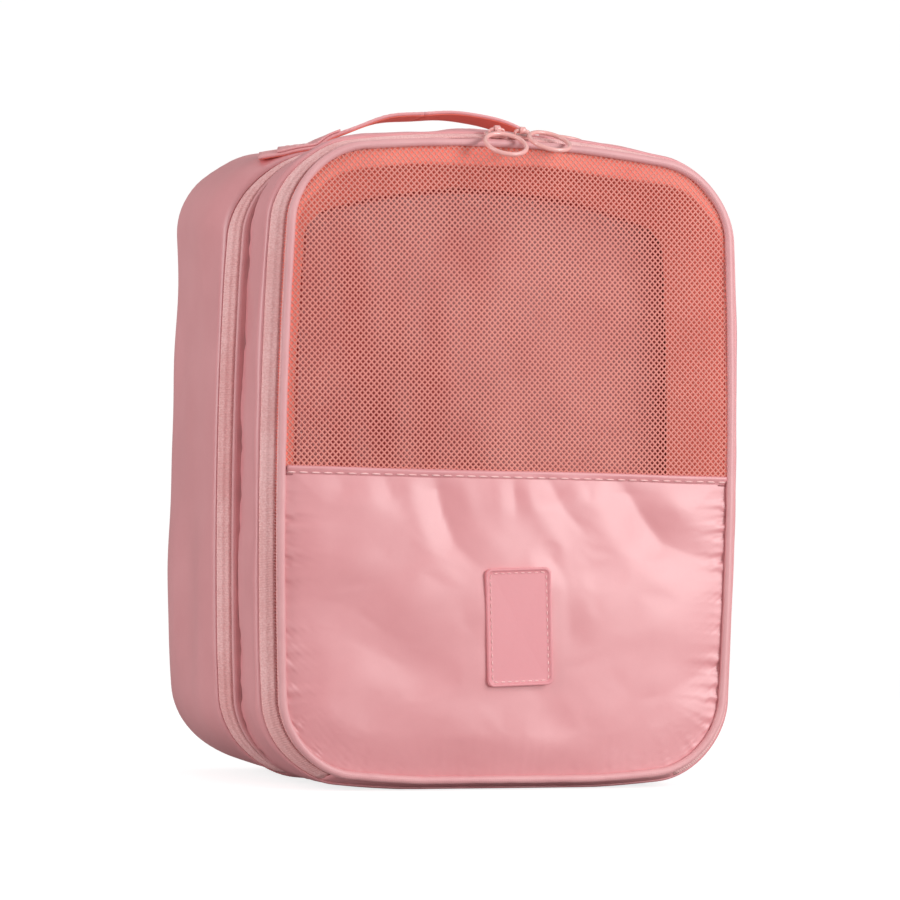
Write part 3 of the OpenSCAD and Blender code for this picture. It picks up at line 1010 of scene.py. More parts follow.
class PathTree:
    """Base of the trees that turn drawn paths into yarn, stitches or teeth."""

    name = "path"
    inputs: dict[str, NodeInput] = {}

    def __init__(self, room: Workroom) -> None:
        """Builds the tree with its named inputs.

        Args:
            room: turns millimetres to metres and keeps the materials.
        """
        self.room = room
        self.tree = bpy.data.node_groups.new(self.name, "GeometryNodeTree")
        self.node = partial(add_node, self.tree)
        socket = self.tree.interface.new_socket
        socket("Geometry", in_out="INPUT", socket_type=NodeInput.SHAPE.value)
        for name, kind in self.inputs.items():
            socket(name, in_out="INPUT", socket_type=kind.value)
        socket("Geometry", in_out="OUTPUT", socket_type=NodeInput.SHAPE.value)
        self.given = self.node("NodeGroupInput").outputs
        curve = self.node("GeometryNodeMeshToCurve", {"Mesh": self.given["Geometry"]})
        shape = self.build(curve.outputs[0])
        real = self.node("GeometryNodeRealizeInstances", {"Geometry": shape})
        round_ = self.node("GeometryNodeSetShadeSmooth", {"Geometry": real.outputs[0]})
        painted = self.node(
            "GeometryNodeSetMaterial",
            {"Geometry": round_.outputs[0], "Material": self.given["Material"]},
        )
        self.node("NodeGroupOutput", {"Geometry": painted.outputs[0]})

    def build(self, curve: Socket) -> Socket:
        """Adds the nodes that make the shape and gives their output."""
        raise NotImplementedError

    def grow(
        self,
        name: str,
        paths: Sequence[Grid],
        finish: Finish,
        body: str | None,
        stands: bool = True,
        **sizes: float,
    ) -> Piece:
        """Runs the tree over paths and keeps the result as a plain mesh.

        Args:
            name: the piece's name.
            paths: point lists in millimetres.
            finish: what it is made of.
            body: the body that it rides on.
            stands: it stands for the solid of its name.
            sizes: the tree's other inputs, lengths in millimetres.

        Returns:
            The object.
        """
        points, edges = [], []
        for path in paths:
            first = len(points)
            points += self.room.metres(path).tolist()
            edges += [(k, k + 1) for k in range(first, len(points) - 1)]
        mesh = bpy.data.meshes.new(name)
        mesh.from_pydata(points, edges, [])
        piece = put_in_scene(name, mesh)
        modifier = piece.modifiers.new(self.name, "NODES")
        modifier.node_group = self.tree
        for item in self.tree.interface.items_tree:
            if item.in_out == "OUTPUT" or item.name == "Geometry":
                continue
            if item.name == "Material":
                modifier[item.identifier] = self.room.material(finish)
            else:
                size = sizes[item.name.lower()]
                modifier[item.identifier] = size if isinstance(size, int) else size * MM
        graph = bpy.context.evaluated_depsgraph_get()
        solid = bpy.data.meshes.new_from_object(piece.evaluated_get(graph))
        piece.modifiers.clear()
        piece.data = solid
        solid.name = name
        fit(piece, name, body, stands)
        return piece


class YarnTree(PathTree):
    """Tubes of yarn along paths."""

    name = "yarn_along_paths"
    inputs = {
        "Thickness": NodeInput.LENGTH,
        "Sides": NodeInput.COUNT,
        "Material": NodeInput.MATERIAL,
    }

    def build(self, curve: Socket) -> Socket:
        """Sweeps a small circle along each path.

        Args:
            curve: the paths.

        Returns:
            The tubes.
        """
        radius = self.node(
            "ShaderNodeMath", {0: self.given["Thickness"], 1: 0.5}, operation="MULTIPLY"
        )
        ring = self.node(
            "GeometryNodeCurvePrimitiveCircle",
            {"Resolution": self.given["Sides"], "Radius": radius.outputs[0]},
        )
        tube = self.node(
            "GeometryNodeCurveToMesh",
            {"Curve": curve, "Profile Curve": ring.outputs[0], "Fill Caps": True},
        )
        return tube.outputs[0]


class BeadTree(PathTree):
    """Beads at even steps along paths: stitches of thread, or teeth of a zip."""

    name = "beads_along_paths"
    inputs = {
        "Pitch": NodeInput.LENGTH,
        "Length": NodeInput.LENGTH,
        "Thickness": NodeInput.LENGTH,
        "Material": NodeInput.MATERIAL,
    }

    def build(self, curve: Socket) -> Socket:
        """Sets one stretched ball at each step, turned along the path.

        Args:
            curve: the paths.

        Returns:
            The beads.
        """
        steps = self.node(
            "GeometryNodeCurveToPoints",
            {"Curve": curve, "Length": self.given["Pitch"]},
            mode="LENGTH",
        )
        turn = self.node(
            "FunctionNodeAlignRotationToVector",
            {"Vector": steps.outputs["Tangent"]},
            axis="X",
        )
        ball = self.node(
            "GeometryNodeMeshUVSphere", {"Segments": 6, "Rings": 4, "Radius": 0.5}
        )
        size = self.node(
            "ShaderNodeCombineXYZ",
            {
                "X": self.given["Length"],
                "Y": self.given["Thickness"],
                "Z": self.given["Thickness"],
            },
        )
        placed = self.node(
            "GeometryNodeInstanceOnPoints",
            {
                "Points": steps.outputs["Points"],
                "Instance": ball.outputs["Mesh"],
                "Rotation": turn.outputs[0],
                "Scale": size.outputs[0],
            },
        )
        return placed.outputs[0]


# ---------------------------------------------------------------------- zips


@dataclass
class ZipMaker:
    """Makes the halves of the zips, which run round the sides and the top."""

    room: Workroom
    beads: BeadTree
    pitch: float = 1.5
    tooth: float = 0.95
    coil: float = 1.1
    tab_w: float = 1.9
    tab_thick: float = 0.5
    tab_steps: int = 3

    def tape(
        self,
        name: str,
        stations: Sequence[Sequence[float]],
        body: str,
        finish: Finish,
        thick: float = TAPE_THICK,
    ) -> None:
        """Weaves one half's tape.

        Args:
            name: the piece's name.
            stations: depth, out, up and inset across the tape.
            body: the body that it rides on.
            finish: what it is made of.
            thick: its thickness in millimetres.
        """
        surface = along_zip(OUTLINE.laid(*stations))
        self.room.band(name, surface, thick, finish, body, wrap=False)

    def teeth(self, name: str, station: Sequence[float], body: str) -> None:
        """Winds one half's coil.

        Args:
            name: the piece's name.
            station: depth, out, up and inset of its middle.
            body: the body that it rides on.
        """
        path = along_zip(OUTLINE.laid(station))[:, 0]
        sizes = {"pitch": self.pitch, "length": self.tooth, "thickness": self.coil}
        self.beads.grow(name, [path], COIL_NYLON, body, **sizes)

    def end_tabs(self, name: str, station: Sequence[float], body: str) -> None:
        """Folds the small tabs that close a zip's two ends.

        Args:
            name: the piece's name.
            station: depth, out, up and inset of their front edge.
            body: the body that they ride on.
        """
        depth, *rest = station
        surface = OUTLINE.laid((depth, *rest), (depth + self.tab_w, *rest))
        shells = [
            loft(walled(surface[k : k + self.tab_steps + 1], self.tab_thick, False))
            for k in (OUTLINE.zip_from - self.tab_steps, OUTLINE.steps - OUTLINE.zip_from)
        ]
        self.room.make(name, shells, TAPE_CLOTH, body)


# ----------------------------------------------------------------------- lid


@dataclass
class Lid:
    """The front lid: piping, mesh window, lower panel, hem, label and zip half."""

    room: Workroom
    yarn: YarnTree
    beads: BeadTree
    zips: ZipMaker
    piping_r: float = 2.15
    cord_r: float = 1.4
    piping_full: float = 1.88
    panel_in: float = 4.4
    piping_wrinkle: float = 0.035
    hem_z: float = 154.5
    mesh_across: float = 2.84
    mesh_up: float = 2.99
    mesh_z: float = 235.0
    mesh_reach: float = 190.0
    mesh_depth: float = 0.7
    strand: float = 0.92
    strand_flat: float = 0.45
    label_w: float = 33.5
    label_h: float = 57.0
    label_x: float = 3.4
    label_z: float = 79.0
    label_turn: float = -2.4
    binding_wide: float = 12.5
    binding_slim: float = 3.6
    crown_height: float = 3.6
    fold_strength: float = 0.72
    fold_spread: float = 1.25
    wave_height: float = 0.55
    pucker_height: float = 0.42
    # The puckers' waves along the seam: length over a full turn, start and weight.
    pucker_waves: tuple = ((0.95, 0.3, 0.8), (1.5, 1.7, 0.8), (2.9, 4.1, 0.5))
    # How far the panel's edge is tucked under the piping.
    tuck: float = 1.6
    body: str = "front_lid"
    # Each fold: how deep and wide, then its line down from the hem.
    valleys: tuple = (
        (2.2, 5.0, (-39, 151), (-35, 133), (-29, 118), (-17, 108)),
        (1.0, 3.0, (0.5, 151), (2, 132)),
        (2.0, 5.0, (19, 151), (26, 137), (39, 124)),
        (0.9, 3.0, (38, 151), (41, 140)),
        (2.8, 7.0, (57, 151), (67, 136), (80, 120), (102, 113)),
        (0.9, 3.5, (-65, 151), (-61, 139)),
        (0.8, 4.0, (-88, 151), (-84, 140)),
        (0.9, 4.0, (20, 112), (27, 102), (31, 72)),
        (0.8, 8.0, (-112, 96), (-80, 88), (-40, 60)),
        (0.7, 7.0, (108, 60), (84, 48), (50, 30)),
    )

    def __post_init__(self) -> None:
        """Draws the panel's soft waves."""
        self.folds = Ripples(61, (28, 90), (1, 1, 0.8), 30)

    def build(self) -> None:
        """Makes every piece of the lid."""
        self.piping()
        self.window()
        self.hem(self.panels())
        self.label()
        self.zip_half()

    def rim(self, depth: float, inset: float) -> Grid:
        """Gives the outline at a depth and an inset."""
        return OUTLINE.laid((depth, 0, 0, inset))[:, 0]

    def rim_tube(self, r: float) -> Grid:
        """Lays a tube of some radius under the piping's seam, round the lid."""
        turn = full_turn(16)
        inset = self.piping_r - r * np.cos(turn)
        return OUTLINE.loops(Profile(r * np.sin(turn), 0 * turn, 0 * turn, inset))

    def piping(self) -> None:
        """Wraps the piping cloth over its cord."""
        cloth = self.rim_tube(self.piping_full)
        wrinkles = Ripples(11, (5, 16), (1, 1, 1), 30).at(cloth)[..., None]
        away = cloth - cloth.mean(axis=1, keepdims=True)
        cloth = cloth + away * self.piping_wrinkle * wrinkles
        for name, surface, finish in (
            ("lid_piping", cloth, PIPING_CLOTH),
            ("lid_piping_cord", self.rim_tube(self.cord_r), FOAM),
        ):
            self.room.make(name, [loft(surface, wrap_rows=True)], finish, self.body)

    def window(self) -> None:
        """Knits the mesh window from two families of yarn that cross."""
        rim = self.rim(0, self.panel_in - 1.2)
        lean = math.atan2(self.mesh_up, self.mesh_across)
        gap = self.mesh_up * self.mesh_across / math.hypot(self.mesh_up, self.mesh_across)
        paths = []
        middle = np.array([0.0, self.mesh_z])
        t = np.arange(-self.mesh_reach, self.mesh_reach, 0.5)
        count = int(self.mesh_reach / gap)
        for sign in (1, -1):
            way = np.array([math.cos(lean), sign * math.sin(lean)])
            side = np.array([-way[1], way[0]])
            for k in range(-count, count + 1):
                line = middle + side * gap * (k + 0.5) + way * t[:, None]
                within = self.inside(line, rim[:, ::2]) & (line[:, 1] > self.hem_z - 1)
                if within.sum() < 4:
                    continue
                ends = line[within][[0, -1]]
                bends = max(int(np.linalg.norm(ends[1] - ends[0]) / 7), 1) + 1
                line = ends[0] + (ends[1] - ends[0]) * np.linspace(0, 1, bends)[:, None]
                depth = self.mesh_depth + sign * 0.03 + self.sag(line)
                paths.append(np.stack([line[:, 0], depth, line[:, 1]], 1))
        mesh = self.yarn.grow(
            "mesh_window", paths, NET_YARN, self.body, thickness=self.strand, sides=6
        )
        self.press(mesh)
        # The net is drawn coarser than it is, so its shadow inside would be too dark.
        mesh.visible_shadow = False

    def press(self, mesh: Piece) -> None:
        """Flattens the net's strands, as the knit is pressed flat.

        Args:
            mesh: the net.
        """
        places = read_points(mesh.data) / MM - self.room.shift
        middle = self.mesh_depth + self.sag(places[:, ::2])
        places[:, 1] = middle + (places[:, 1] - middle) * self.strand_flat
        mesh.data.vertices.foreach_set(
            "co", self.room.metres(places).astype(np.float32).ravel()
        )
        mesh.data.update()

    @staticmethod
    def sag(line: Grid) -> Grid:
        """Gives how far the net hangs in at places across and up."""
        x, z = line[:, 0], line[:, 1]
        return 0.35 * np.sin(x / 31 + 0.6) * np.sin(z / 24) + 0.2 * np.sin(x / 13 - z / 17)

    @staticmethod
    def inside(places: Grid, rim: Grid) -> Grid:
        """Says which places lie inside a closed outline.

        Args:
            places: rows of across and up.
            rim: the outline's points, across and up.

        Returns:
            True for each place inside.
        """
        x, z = places[:, :1], places[:, 1:]
        ax, az = rim[:, 0], rim[:, 1]
        bx, bz = np.roll(ax, -1), np.roll(az, -1)
        crosses = (az > z) != (bz > z)
        with np.errstate(divide="ignore", invalid="ignore"):
            at = (bx - ax) * (z - az) / (bz - az) + ax
        return (crosses & (x < at)).sum(axis=1) % 2 == 1

    def panel_grid(self, depth: float, inset: float, count: int = 110) -> Grid:
        """Fills the lid below the hem with a grid.

        Args:
            depth: where it lies.
            inset: how far its edge lies in from the frame.
            count: points along each side.

        Returns:
            Rows from the base up.
        """
        rim = self.rim(depth, inset)
        quarter, start = OUTLINE.steps // 4, OUTLINE.lower_right
        base = np.take(rim, np.arange(start - quarter, start + 1), axis=0, mode="wrap")
        side = rim[start : start + quarter]
        side = side[side[:, 2] <= self.hem_z]
        end = side[-1] * [1, 1, 0] + [0, 0, self.hem_z]
        right = even(np.vstack([side, end]), count)
        left = right * [-1, 1, 1]
        top = even(np.stack([left[-1], right[-1]]), count)
        return patch(even(base, count), right, top, left)

    def panels(self) -> Grid:
        """Makes the lower panel and its lining.

        Returns:
            The panel's face, rows from the base up.
        """
        cloth = self.panel_grid(0.2, self.panel_in - self.tuck, 96)
        x, z = cloth[..., 0], cloth[..., 2]
        share = self.edge_share(cloth)
        rise = self.crown(x, z) + self.puckers(cloth) + 1.0 * (share - 1)
        rise += self.gathers(x, z) + self.wave_height * share * self.folds.at(cloth)
        cloth = lifted(cloth, rise, False)
        # The cloth is cut 0.4 % too large, and gathered by 1.2 % more along the hem.
        cut = cloth.copy()
        cut[..., 0] = x * (1.004 + 0.012 * np.exp(-(self.hem_z - z) / 40))
        cut[..., 2] = 80 + (z - 80) * 1.004
        held = np.zeros(x.shape)
        held[[0, -1]] = held[:, [0, -1]] = 1
        held[-2] = 1
        under_label = np.abs(x - self.label_x) < self.label_w / 2 + 1
        held[under_label & (np.abs(z - self.label_z) < self.label_h / 2 + 1)] = 1
        cloth = self.room.settled(cloth, cut, held, pressure=0.15, reach=1.2)
        panel = self.room.band(
            "lower_panel", finer(cloth), SHELL_THICK, SHELL_CLOTH, self.body, wrap=False
        )
        lining = self.room.band(
            "lower_panel_lining",
            self.panel_grid(3.0, self.panel_in, 60),
            LINING_THICK,
            LINING_CLOTH,
            self.body,
            wrap=False,
        )
        return cloth

    def crown(self, x: Grid, z: Grid) -> Grid:
        """Gives how far the filled panel swells at a place, in millimetres."""
        u, v = x / 116, (z - 82) / 80
        full = np.clip(1 - u**2, 0, 1) * np.clip(1 - v**2, 0, 1) ** 0.8
        return self.crown_height * full

    def gathers(self, x: Grid, z: Grid) -> Grid:
        """Gives the folds that run down from the hem, sharp in their valleys.

        Args:
            x: places across the panel.
            z: their heights.

        Returns:
            How far each place stands out.
        """
        rise = np.zeros(x.shape)
        places = np.stack([x, z], -1)
        for deep, wide, *line in self.valleys:
            near = np.full(x.shape, 1e9)
            fade = np.zeros(x.shape)
            for k, (a, b) in enumerate(zip(line, line[1:])):
                a, b = np.array(a), np.array(b)
                t = np.clip(((places - a) @ (b - a)) / ((b - a) @ (b - a)), 0, 1)
                gap = np.linalg.norm(places - a - t[..., None] * (b - a), axis=-1)
                fade = np.where(gap < near, 1 - (k + t) / (len(line) - 1), fade)
                near = np.minimum(gap, near)
            strength = self.fold_strength * deep * np.sqrt(fade + 0.04)
            rise -= strength * np.exp(-((near / (self.fold_spread * wide)) ** 1.4))
            rise += 0.25 * strength * np.exp(-(((near - 2.6 * wide) / wide) ** 2))
        return rise * np.clip((self.hem_z - 1 - z) / 9, 0, 1)

    def edge_share(self, points: Grid) -> Grid:
        """Gives 0 at the panel's sewn edges, rising to 1 over 22 mm.

        Args:
            points: rows by columns of places.

        Returns:
            A share for each place.
        """
        rim = self.rim(0, self.panel_in - self.tuck)[:, ::2]
        flat = points[..., ::2].reshape(-1, 2)
        away = np.min(np.linalg.norm(flat[:, None] - rim[None, ::2], axis=2), axis=1)
        away = np.minimum(away, self.hem_z - flat[:, 1] + 3)
        share = np.clip(away / 22, 0, 1).reshape(points.shape[:2])
        return share * share * (3 - 2 * share)

    def puckers(self, points: Grid) -> Grid:
        """Gives the small gathers square to the sewn edges.

        Args:
            points: rows by columns of places.

        Returns:
            How far each place stands out.
        """
        rim = self.rim(0, self.panel_in - self.tuck)
        run = np.r_[0, np.cumsum(np.linalg.norm(np.diff(rim, axis=0), axis=1))]
        flat = points[..., ::2].reshape(-1, 2)
        gaps = np.linalg.norm(flat[:, None] - rim[None, :, ::2], axis=2)
        near = gaps.argmin(axis=1)
        away, at = gaps.min(axis=1), run[near]
        waves = sum(
            np.sin(at / step + shift) * weight
            for step, shift, weight in self.pucker_waves
        )
        rise = np.clip(away / 1.5, 0, 1) * np.exp(-away / 6)
        rise *= np.clip((self.hem_z - 4 - points[..., 2].ravel()) / 12, 0, 1)
        rise *= np.clip(points[..., 2].ravel() / 45, 0.2, 1)
        return (waves * rise * self.pucker_height).reshape(points.shape[:2])

    @staticmethod
    def face_depth(face: Grid, xs: Grid, z: float) -> Grid:
        """Gives the depth of the panel's face along a level line."""
        row = int(np.abs(face[:, :, 2].mean(axis=1) - z).argmin())
        return np.interp(xs, face[row, :, 0], face[row, :, 1])

    def hem(self, face: Grid) -> None:
        """Folds the panel's top edge over and stitches it.

        Args:
            face: the panel's face, rows from the base up.
        """
        xs = np.linspace(-113.8, 113.8, 190)
        wave = 0.14 * np.sin(xs / 5.3) + 0.1 * np.sin(xs / 2.3 + 1)
        low = self.face_depth(face, xs, self.hem_z - 4)
        rows = []
        for x, w, near in zip(xs, wave, low):
            top = self.hem_z - 0.9 + 0.25 * math.sin(x / 23)
            loop = [
                (x, 0.9, top - 3.9),
                (x, near + 0.25, top - 3.6),
                (x, (near - 0.6) * 0.5, top - 1.9 + w),
                (x, -0.62 + w * 0.4, top - 0.9),
            ]
            loop += [
                (x, -0.12 - 0.72 * math.cos(a), top + 0.9 * math.sin(a))
                for a in np.radians([0, 45, 90, 135, 180])
            ]
            loop += [(x, 0.8, top - 2.0)]
            rows.append(loop)
        self.room.make("window_hem", [loft(np.array(rows))], SHELL_CLOTH, self.body)
        drop = self.hem_z - 3.0
        depth = self.face_depth(face, xs, drop) * 0.6 - 0.5
        stitch = np.stack([xs, depth, 0 * xs + drop], 1)
        self.beads.grow(
            "hem_stitches",
            [stitch[2:-2]],
            THREAD,
            self.body,
            stands=False,
            pitch=6.0,
            length=4.8,
            thickness=0.8,
        )

    def label_ring(self, inset: float, depth: float, count: int = 8) -> Grid:
        """Gives one turn of the label's outline, on the swollen panel.

        Args:
            inset: how far it lies in from the label's edge.
            depth: its depth from the panel, less than zero towards the front.
            count: points on each corner.

        Returns:
            The turn's points.
        """
        r = max(3 - inset * 0.5, 0.6)
        w, h = self.label_w / 2 - inset - r, self.label_h / 2 - inset - r
        turn = np.arange(count) / (count - 1) * np.pi / 2
        corners = ((1, 1), (1, -1), (-1, -1), (-1, 1))
        across, up = np.array(
            [
                (sx * w + r * math.sin(a), sz * h + r * math.cos(a))
                for k, (sx, sz) in enumerate(corners)
                for a in turn + k * np.pi / 2
            ]
        ).T
        lean = math.radians(self.label_turn)
        x = self.label_x + across * math.cos(lean) + up * math.sin(lean)
        z = self.label_z - across * math.sin(lean) + up * math.cos(lean)
        return np.stack([x, depth - self.crown(x, z), z], 1)

    def label(self) -> None:
        """Moulds the soft label with its raised rim and the stitches that hold it."""
        rows = [
            self.label_ring(inset, depth)
            for inset, depth in (
                (0.35, 0.2), (0, -0.3), (0, -1.7), (0.15, -2.05), (0.4, -2.15),
                (0.9, -2.15), (1.2, -1.95), (1.4, -1.6), (1.7, -1.45), (3.4, -1.4),
            )
        ]
        middle = np.array([self.label_x, rows[-1][:, 1].mean(), self.label_z])
        steps = [0.85, 0.6, 0.35, 0.12]
        inner = [middle + (rows[-1] - middle) * k for k in steps]
        base = np.array([self.label_x, rows[0][:, 1].mean(), self.label_z])
        under = [base + (rows[0] - base) * k for k in steps[::-1]]
        grid = np.stack(under + rows + inner)
        self.room.make("soft_label", [loft(grid)], LABEL_RUBBER, self.body)
        path = self.label_ring(2.3, -1.5)
        path = np.vstack([path, path[:1]])
        self.beads.grow(
            "label_stitches",
            [even(path, 120)],
            THREAD,
            self.body,
            stands=False,
            pitch=3.4,
            length=2.4,
            thickness=0.55,
        )

    def zip_half(self) -> None:
        """Makes the lid's tape, coil and inner binding."""
        tape = ((2.4, 0, 0, 0.5), (2.4, 0, 0, 3), (2.4, 0, 0, 4.0))
        self.zips.tape("lid_zip_tape", tape, self.body, TAPE_CLOTH)
        wide, slim = (
            OUTLINE.laid(
                (1.4, 0, 0, 3.6),
                (1.4, 0, 0, w - 1.2),
                (1.7, 0, 0, w),
                (3.1, 0, 0, w),
                (3.6, 0, 0, w - 1.2),
                (3.5, 0, 0, 6),
            )
            for w in (self.binding_wide, self.binding_slim)
        )
        # It is wide over the net and slim below, where it stays behind the hem.
        high = np.clip((wide[..., 2:] - 262) / 40, 0, 1)
        binding = slim + (wide - slim) * high
        binding[..., 2] += high[..., 0] * 0.6 * np.sin(binding[..., 0] / 11)
        below = np.clip((self.hem_z + 1 - binding[..., 2]) / 3, 0, 1)
        binding[..., 1] += below * np.maximum(3.2 - binding[..., 1], 0)
        self.room.band("lid_seam_binding", binding, 0.4, LINING_CLOTH, self.body)
        self.zips.teeth("lid_zip_coil", (3.55, 0, 0, 0.9), self.body)


# --------------------------------------------------------- front compartment


@dataclass
class FrontCompartment:
    """The shallow compartment: gusset, zip tapes, foam, linings and partition."""

    room: Workroom
    zips: ZipMaker
    seams: tuple[float, float] = (9.3, 49.8)
    fold_height: float = 1.25
    foam_in: float = 1.7
    partition_in: float = 25.0
    partition_d: float = 42.6
    partition_swell: float = 11.0
    lip_out: float = 2.7
    body: str = "front_compartment"
    lid: str = "front_lid"

    def __post_init__(self) -> None:
        """Draws the cloth's folds."""
        self.folds = Ripples(23, (18, 70), (1, 0.8, 1.3), 36)
        self.lip = Ripples(7, (9, 46), (1, 1000, 1), 24)

    def build(self) -> None:
        """Makes every piece of the front compartment."""
        self.gusset()
        self.tapes()
        self.hinge()
        self.partition()

    def rumpled(self, surface: Grid) -> Grid:
        """Lays folds in the wall, none at its two seams and few near the ground.

        Args:
            surface: rows round the bag by columns across the wall.

        Returns:
            The folded surface.
        """
        at = (surface[..., 1] - self.seams[0]) / (self.seams[1] - self.seams[0])
        hold = np.clip(np.minimum(at, 1 - at) * 5, 0, 1)
        hold = hold * np.clip(surface[..., 2] / 30, 0.1, 1)
        folds = self.folds.at(surface) * self.fold_height * hold
        surface = lifted(surface, folds, True)
        surface[..., 2] = np.maximum(surface[..., 2], 0)
        return surface

    def gusset(self) -> None:
        """Makes the gusset's cloth, foam and lining."""
        surface = OUTLINE.laid(
            (9.6, 5.1, 4.4, 1.2),
            (9.3, 5.15, 4.45, 0.5),
            (9.9, 5.3, 4.6, 0.05),
            (11.5, 5.6, 4.8, -0.2),
            *OUTLINE.skin([14, 18, 23, 30, 36.4, 42, 46]),
            (46.7, 5.3, 4.3, -0.6), (47.4, 5.2, 4.2, -0.5), (47.9, 5.2, 4.2, 0.1),
            (47.8, 5.2, 4.2, 1.5), (47.2, 5.2, 4.2, 2.8),
        )
        surface = self.rumpled(surface)
        # Its rear edge is an uneven lip over the second zip, level under the sliders.
        lip = np.clip((surface[..., 1] - 42) / 5, 0, 1)
        notch = np.clip(self.lip.creased(surface), -1.6, 0.5)
        side = np.clip((290 - surface[..., 2]) / 25, 0, 1)
        surface[..., 1] += lip * (notch * 1.3 + self.lip_out * side)
        surface = lifted(surface, lip * notch * 0.5, True)
        gusset = self.room.band(
            "front_gusset", surface, SHELL_THICK, SHELL_CLOTH, self.body
        )
        foam = OUTLINE.laid(*OUTLINE.skin([14.1, 23, 30, 36.4, 41.8], self.foam_in))
        foam = self.rumpled(foam)
        self.room.band("front_gusset_foam", foam, FOAM_THICK, FOAM, self.body)
        lining = OUTLINE.laid(
            (9.6, 5.2, 4.5, 4.0),
            (18, 6, 5, 6.0),
            (27, 6.6, 5.4, 9.5),
            (36, 6.4, 5.2, 13.6),
            (self.partition_d - 0.5, 6, 5, self.partition_in),
        )
        lining = lifted(lining, self.folds.at(lining * 1.3) * 0.5, True)
        piece = self.room.band(
            "front_gusset_lining", lining, LINING_THICK, LINING_CLOTH, self.body
        )

    def tapes(self) -> None:
        """Makes the two zip tapes, their coils and the end tabs."""
        front = (
            (4.9, -0.6, 1.0, 0.2), (5.3, 0.2, 1.3, 0.0), (6.6, 2.4, 2.2, 0.1),
            (8.2, 4.1, 3.4, 0.35), (9.6, 5.0, 4.4, 0.9), (11.5, 5.4, 4.7, 1.2),
            (13.6, 5.7, 4.9, 1.3),
        )
        second = (
            (44, 6.0, 5.0, 3.2), (49.6, 5.2, 4.2, 7.5), (50.8, 5.2, 4.2, 6.0),
            (51.2, 5.2, 4.2, 3.0), (51.2, 5.3, 4.2, 0.9), (50.7, 5.7, 4.3, 0.0),
            (50.8, 6.6, 4.5, -0.4), (51.4, 7.6, 4.8, 0.0),
        )
        self.zips.tape("front_zip_tape", front, self.body, TAPE_CLOTH)
        self.zips.tape("second_zip_front_tape", second, self.body, PIPING_CLOTH, 0.6)
        self.zips.teeth("front_zip_coil", (5.2, 0.6, 1.2, 1.7), self.body)
        self.zips.teeth("second_zip_front_coil", (51.2, 7.5, 4.8, 1.0), self.body)
        self.zips.end_tabs("front_zip_end_tabs", (4.9, 1.0, 1.0, 2.2), self.body)

    def hinge(self) -> None:
        """Makes the cloth that the lid folds down on."""
        surface = OUTLINE.laid(
            (2.45, 0, 0, 9), (2.45, 0, 0, 3), (2.6, 0, 0, 0.6), (3.4, 0.3, 0.3, 0.1),
            (4.4, 0.7, 0.7, 0.0), (5.4, 1.5, 1.4, 0.0), (7.4, 3.4, 3.0, 0.3),
            (9.6, 5.0, 4.4, 0.9), (13.6, 5.7, 4.9, 1.3),
        )
        cloth = self.room.band(
            "lid_hinge_cloth", along_hinge(surface), HINGE_THICK, SHELL_CLOTH, wrap=False
        )
        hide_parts("lid_hinge_cloth", "lid_hinge_flap")
        start, end = self.room.metres([[0, 3.3, 2.4], [0, 5.5, 2.4]])
        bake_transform(cloth)

    def partition(self) -> None:
        """Makes the padded partition between the compartments."""
        front = whole_panel((self.partition_d, 6, 5, self.partition_in))
        x, z = front[..., 0], front[..., 2] - 160
        u, v = x / 96, z / 140
        swell = np.clip(1 - u**4, 0, 1) * np.clip(1 - v**4, 0, 1)
        front[..., 1] -= (
            self.partition_swell * swell * np.exp(-(u**2) * 1.8 - (v - 0.3) ** 2 * 1.6)
        )
        front[..., 1] -= self.folds.at(front) * 0.8 * swell
        # The face takes a dark red cloth: painted shade of the compartment's inside.
        lining = self.room.band(
            "partition_front_lining",
            front,
            LINING_THICK,
            PARTITION_CLOTH_PAINTED_SHADE,
            self.body,
            wrap=False,
        )
        board = whole_panel((45.4, 6, 5, 4.0))
        pad = self.room.band("partition_board", board, 2.0, FOAM, self.body, wrap=False)
        back = whole_panel((48.0, 6, 5, 4.0))
        lining = self.room.band(
            "partition_back_lining", back, LINING_THICK, LINING_CLOTH, self.body, wrap=False
        )


# ---------------------------------------------------------- rear compartment


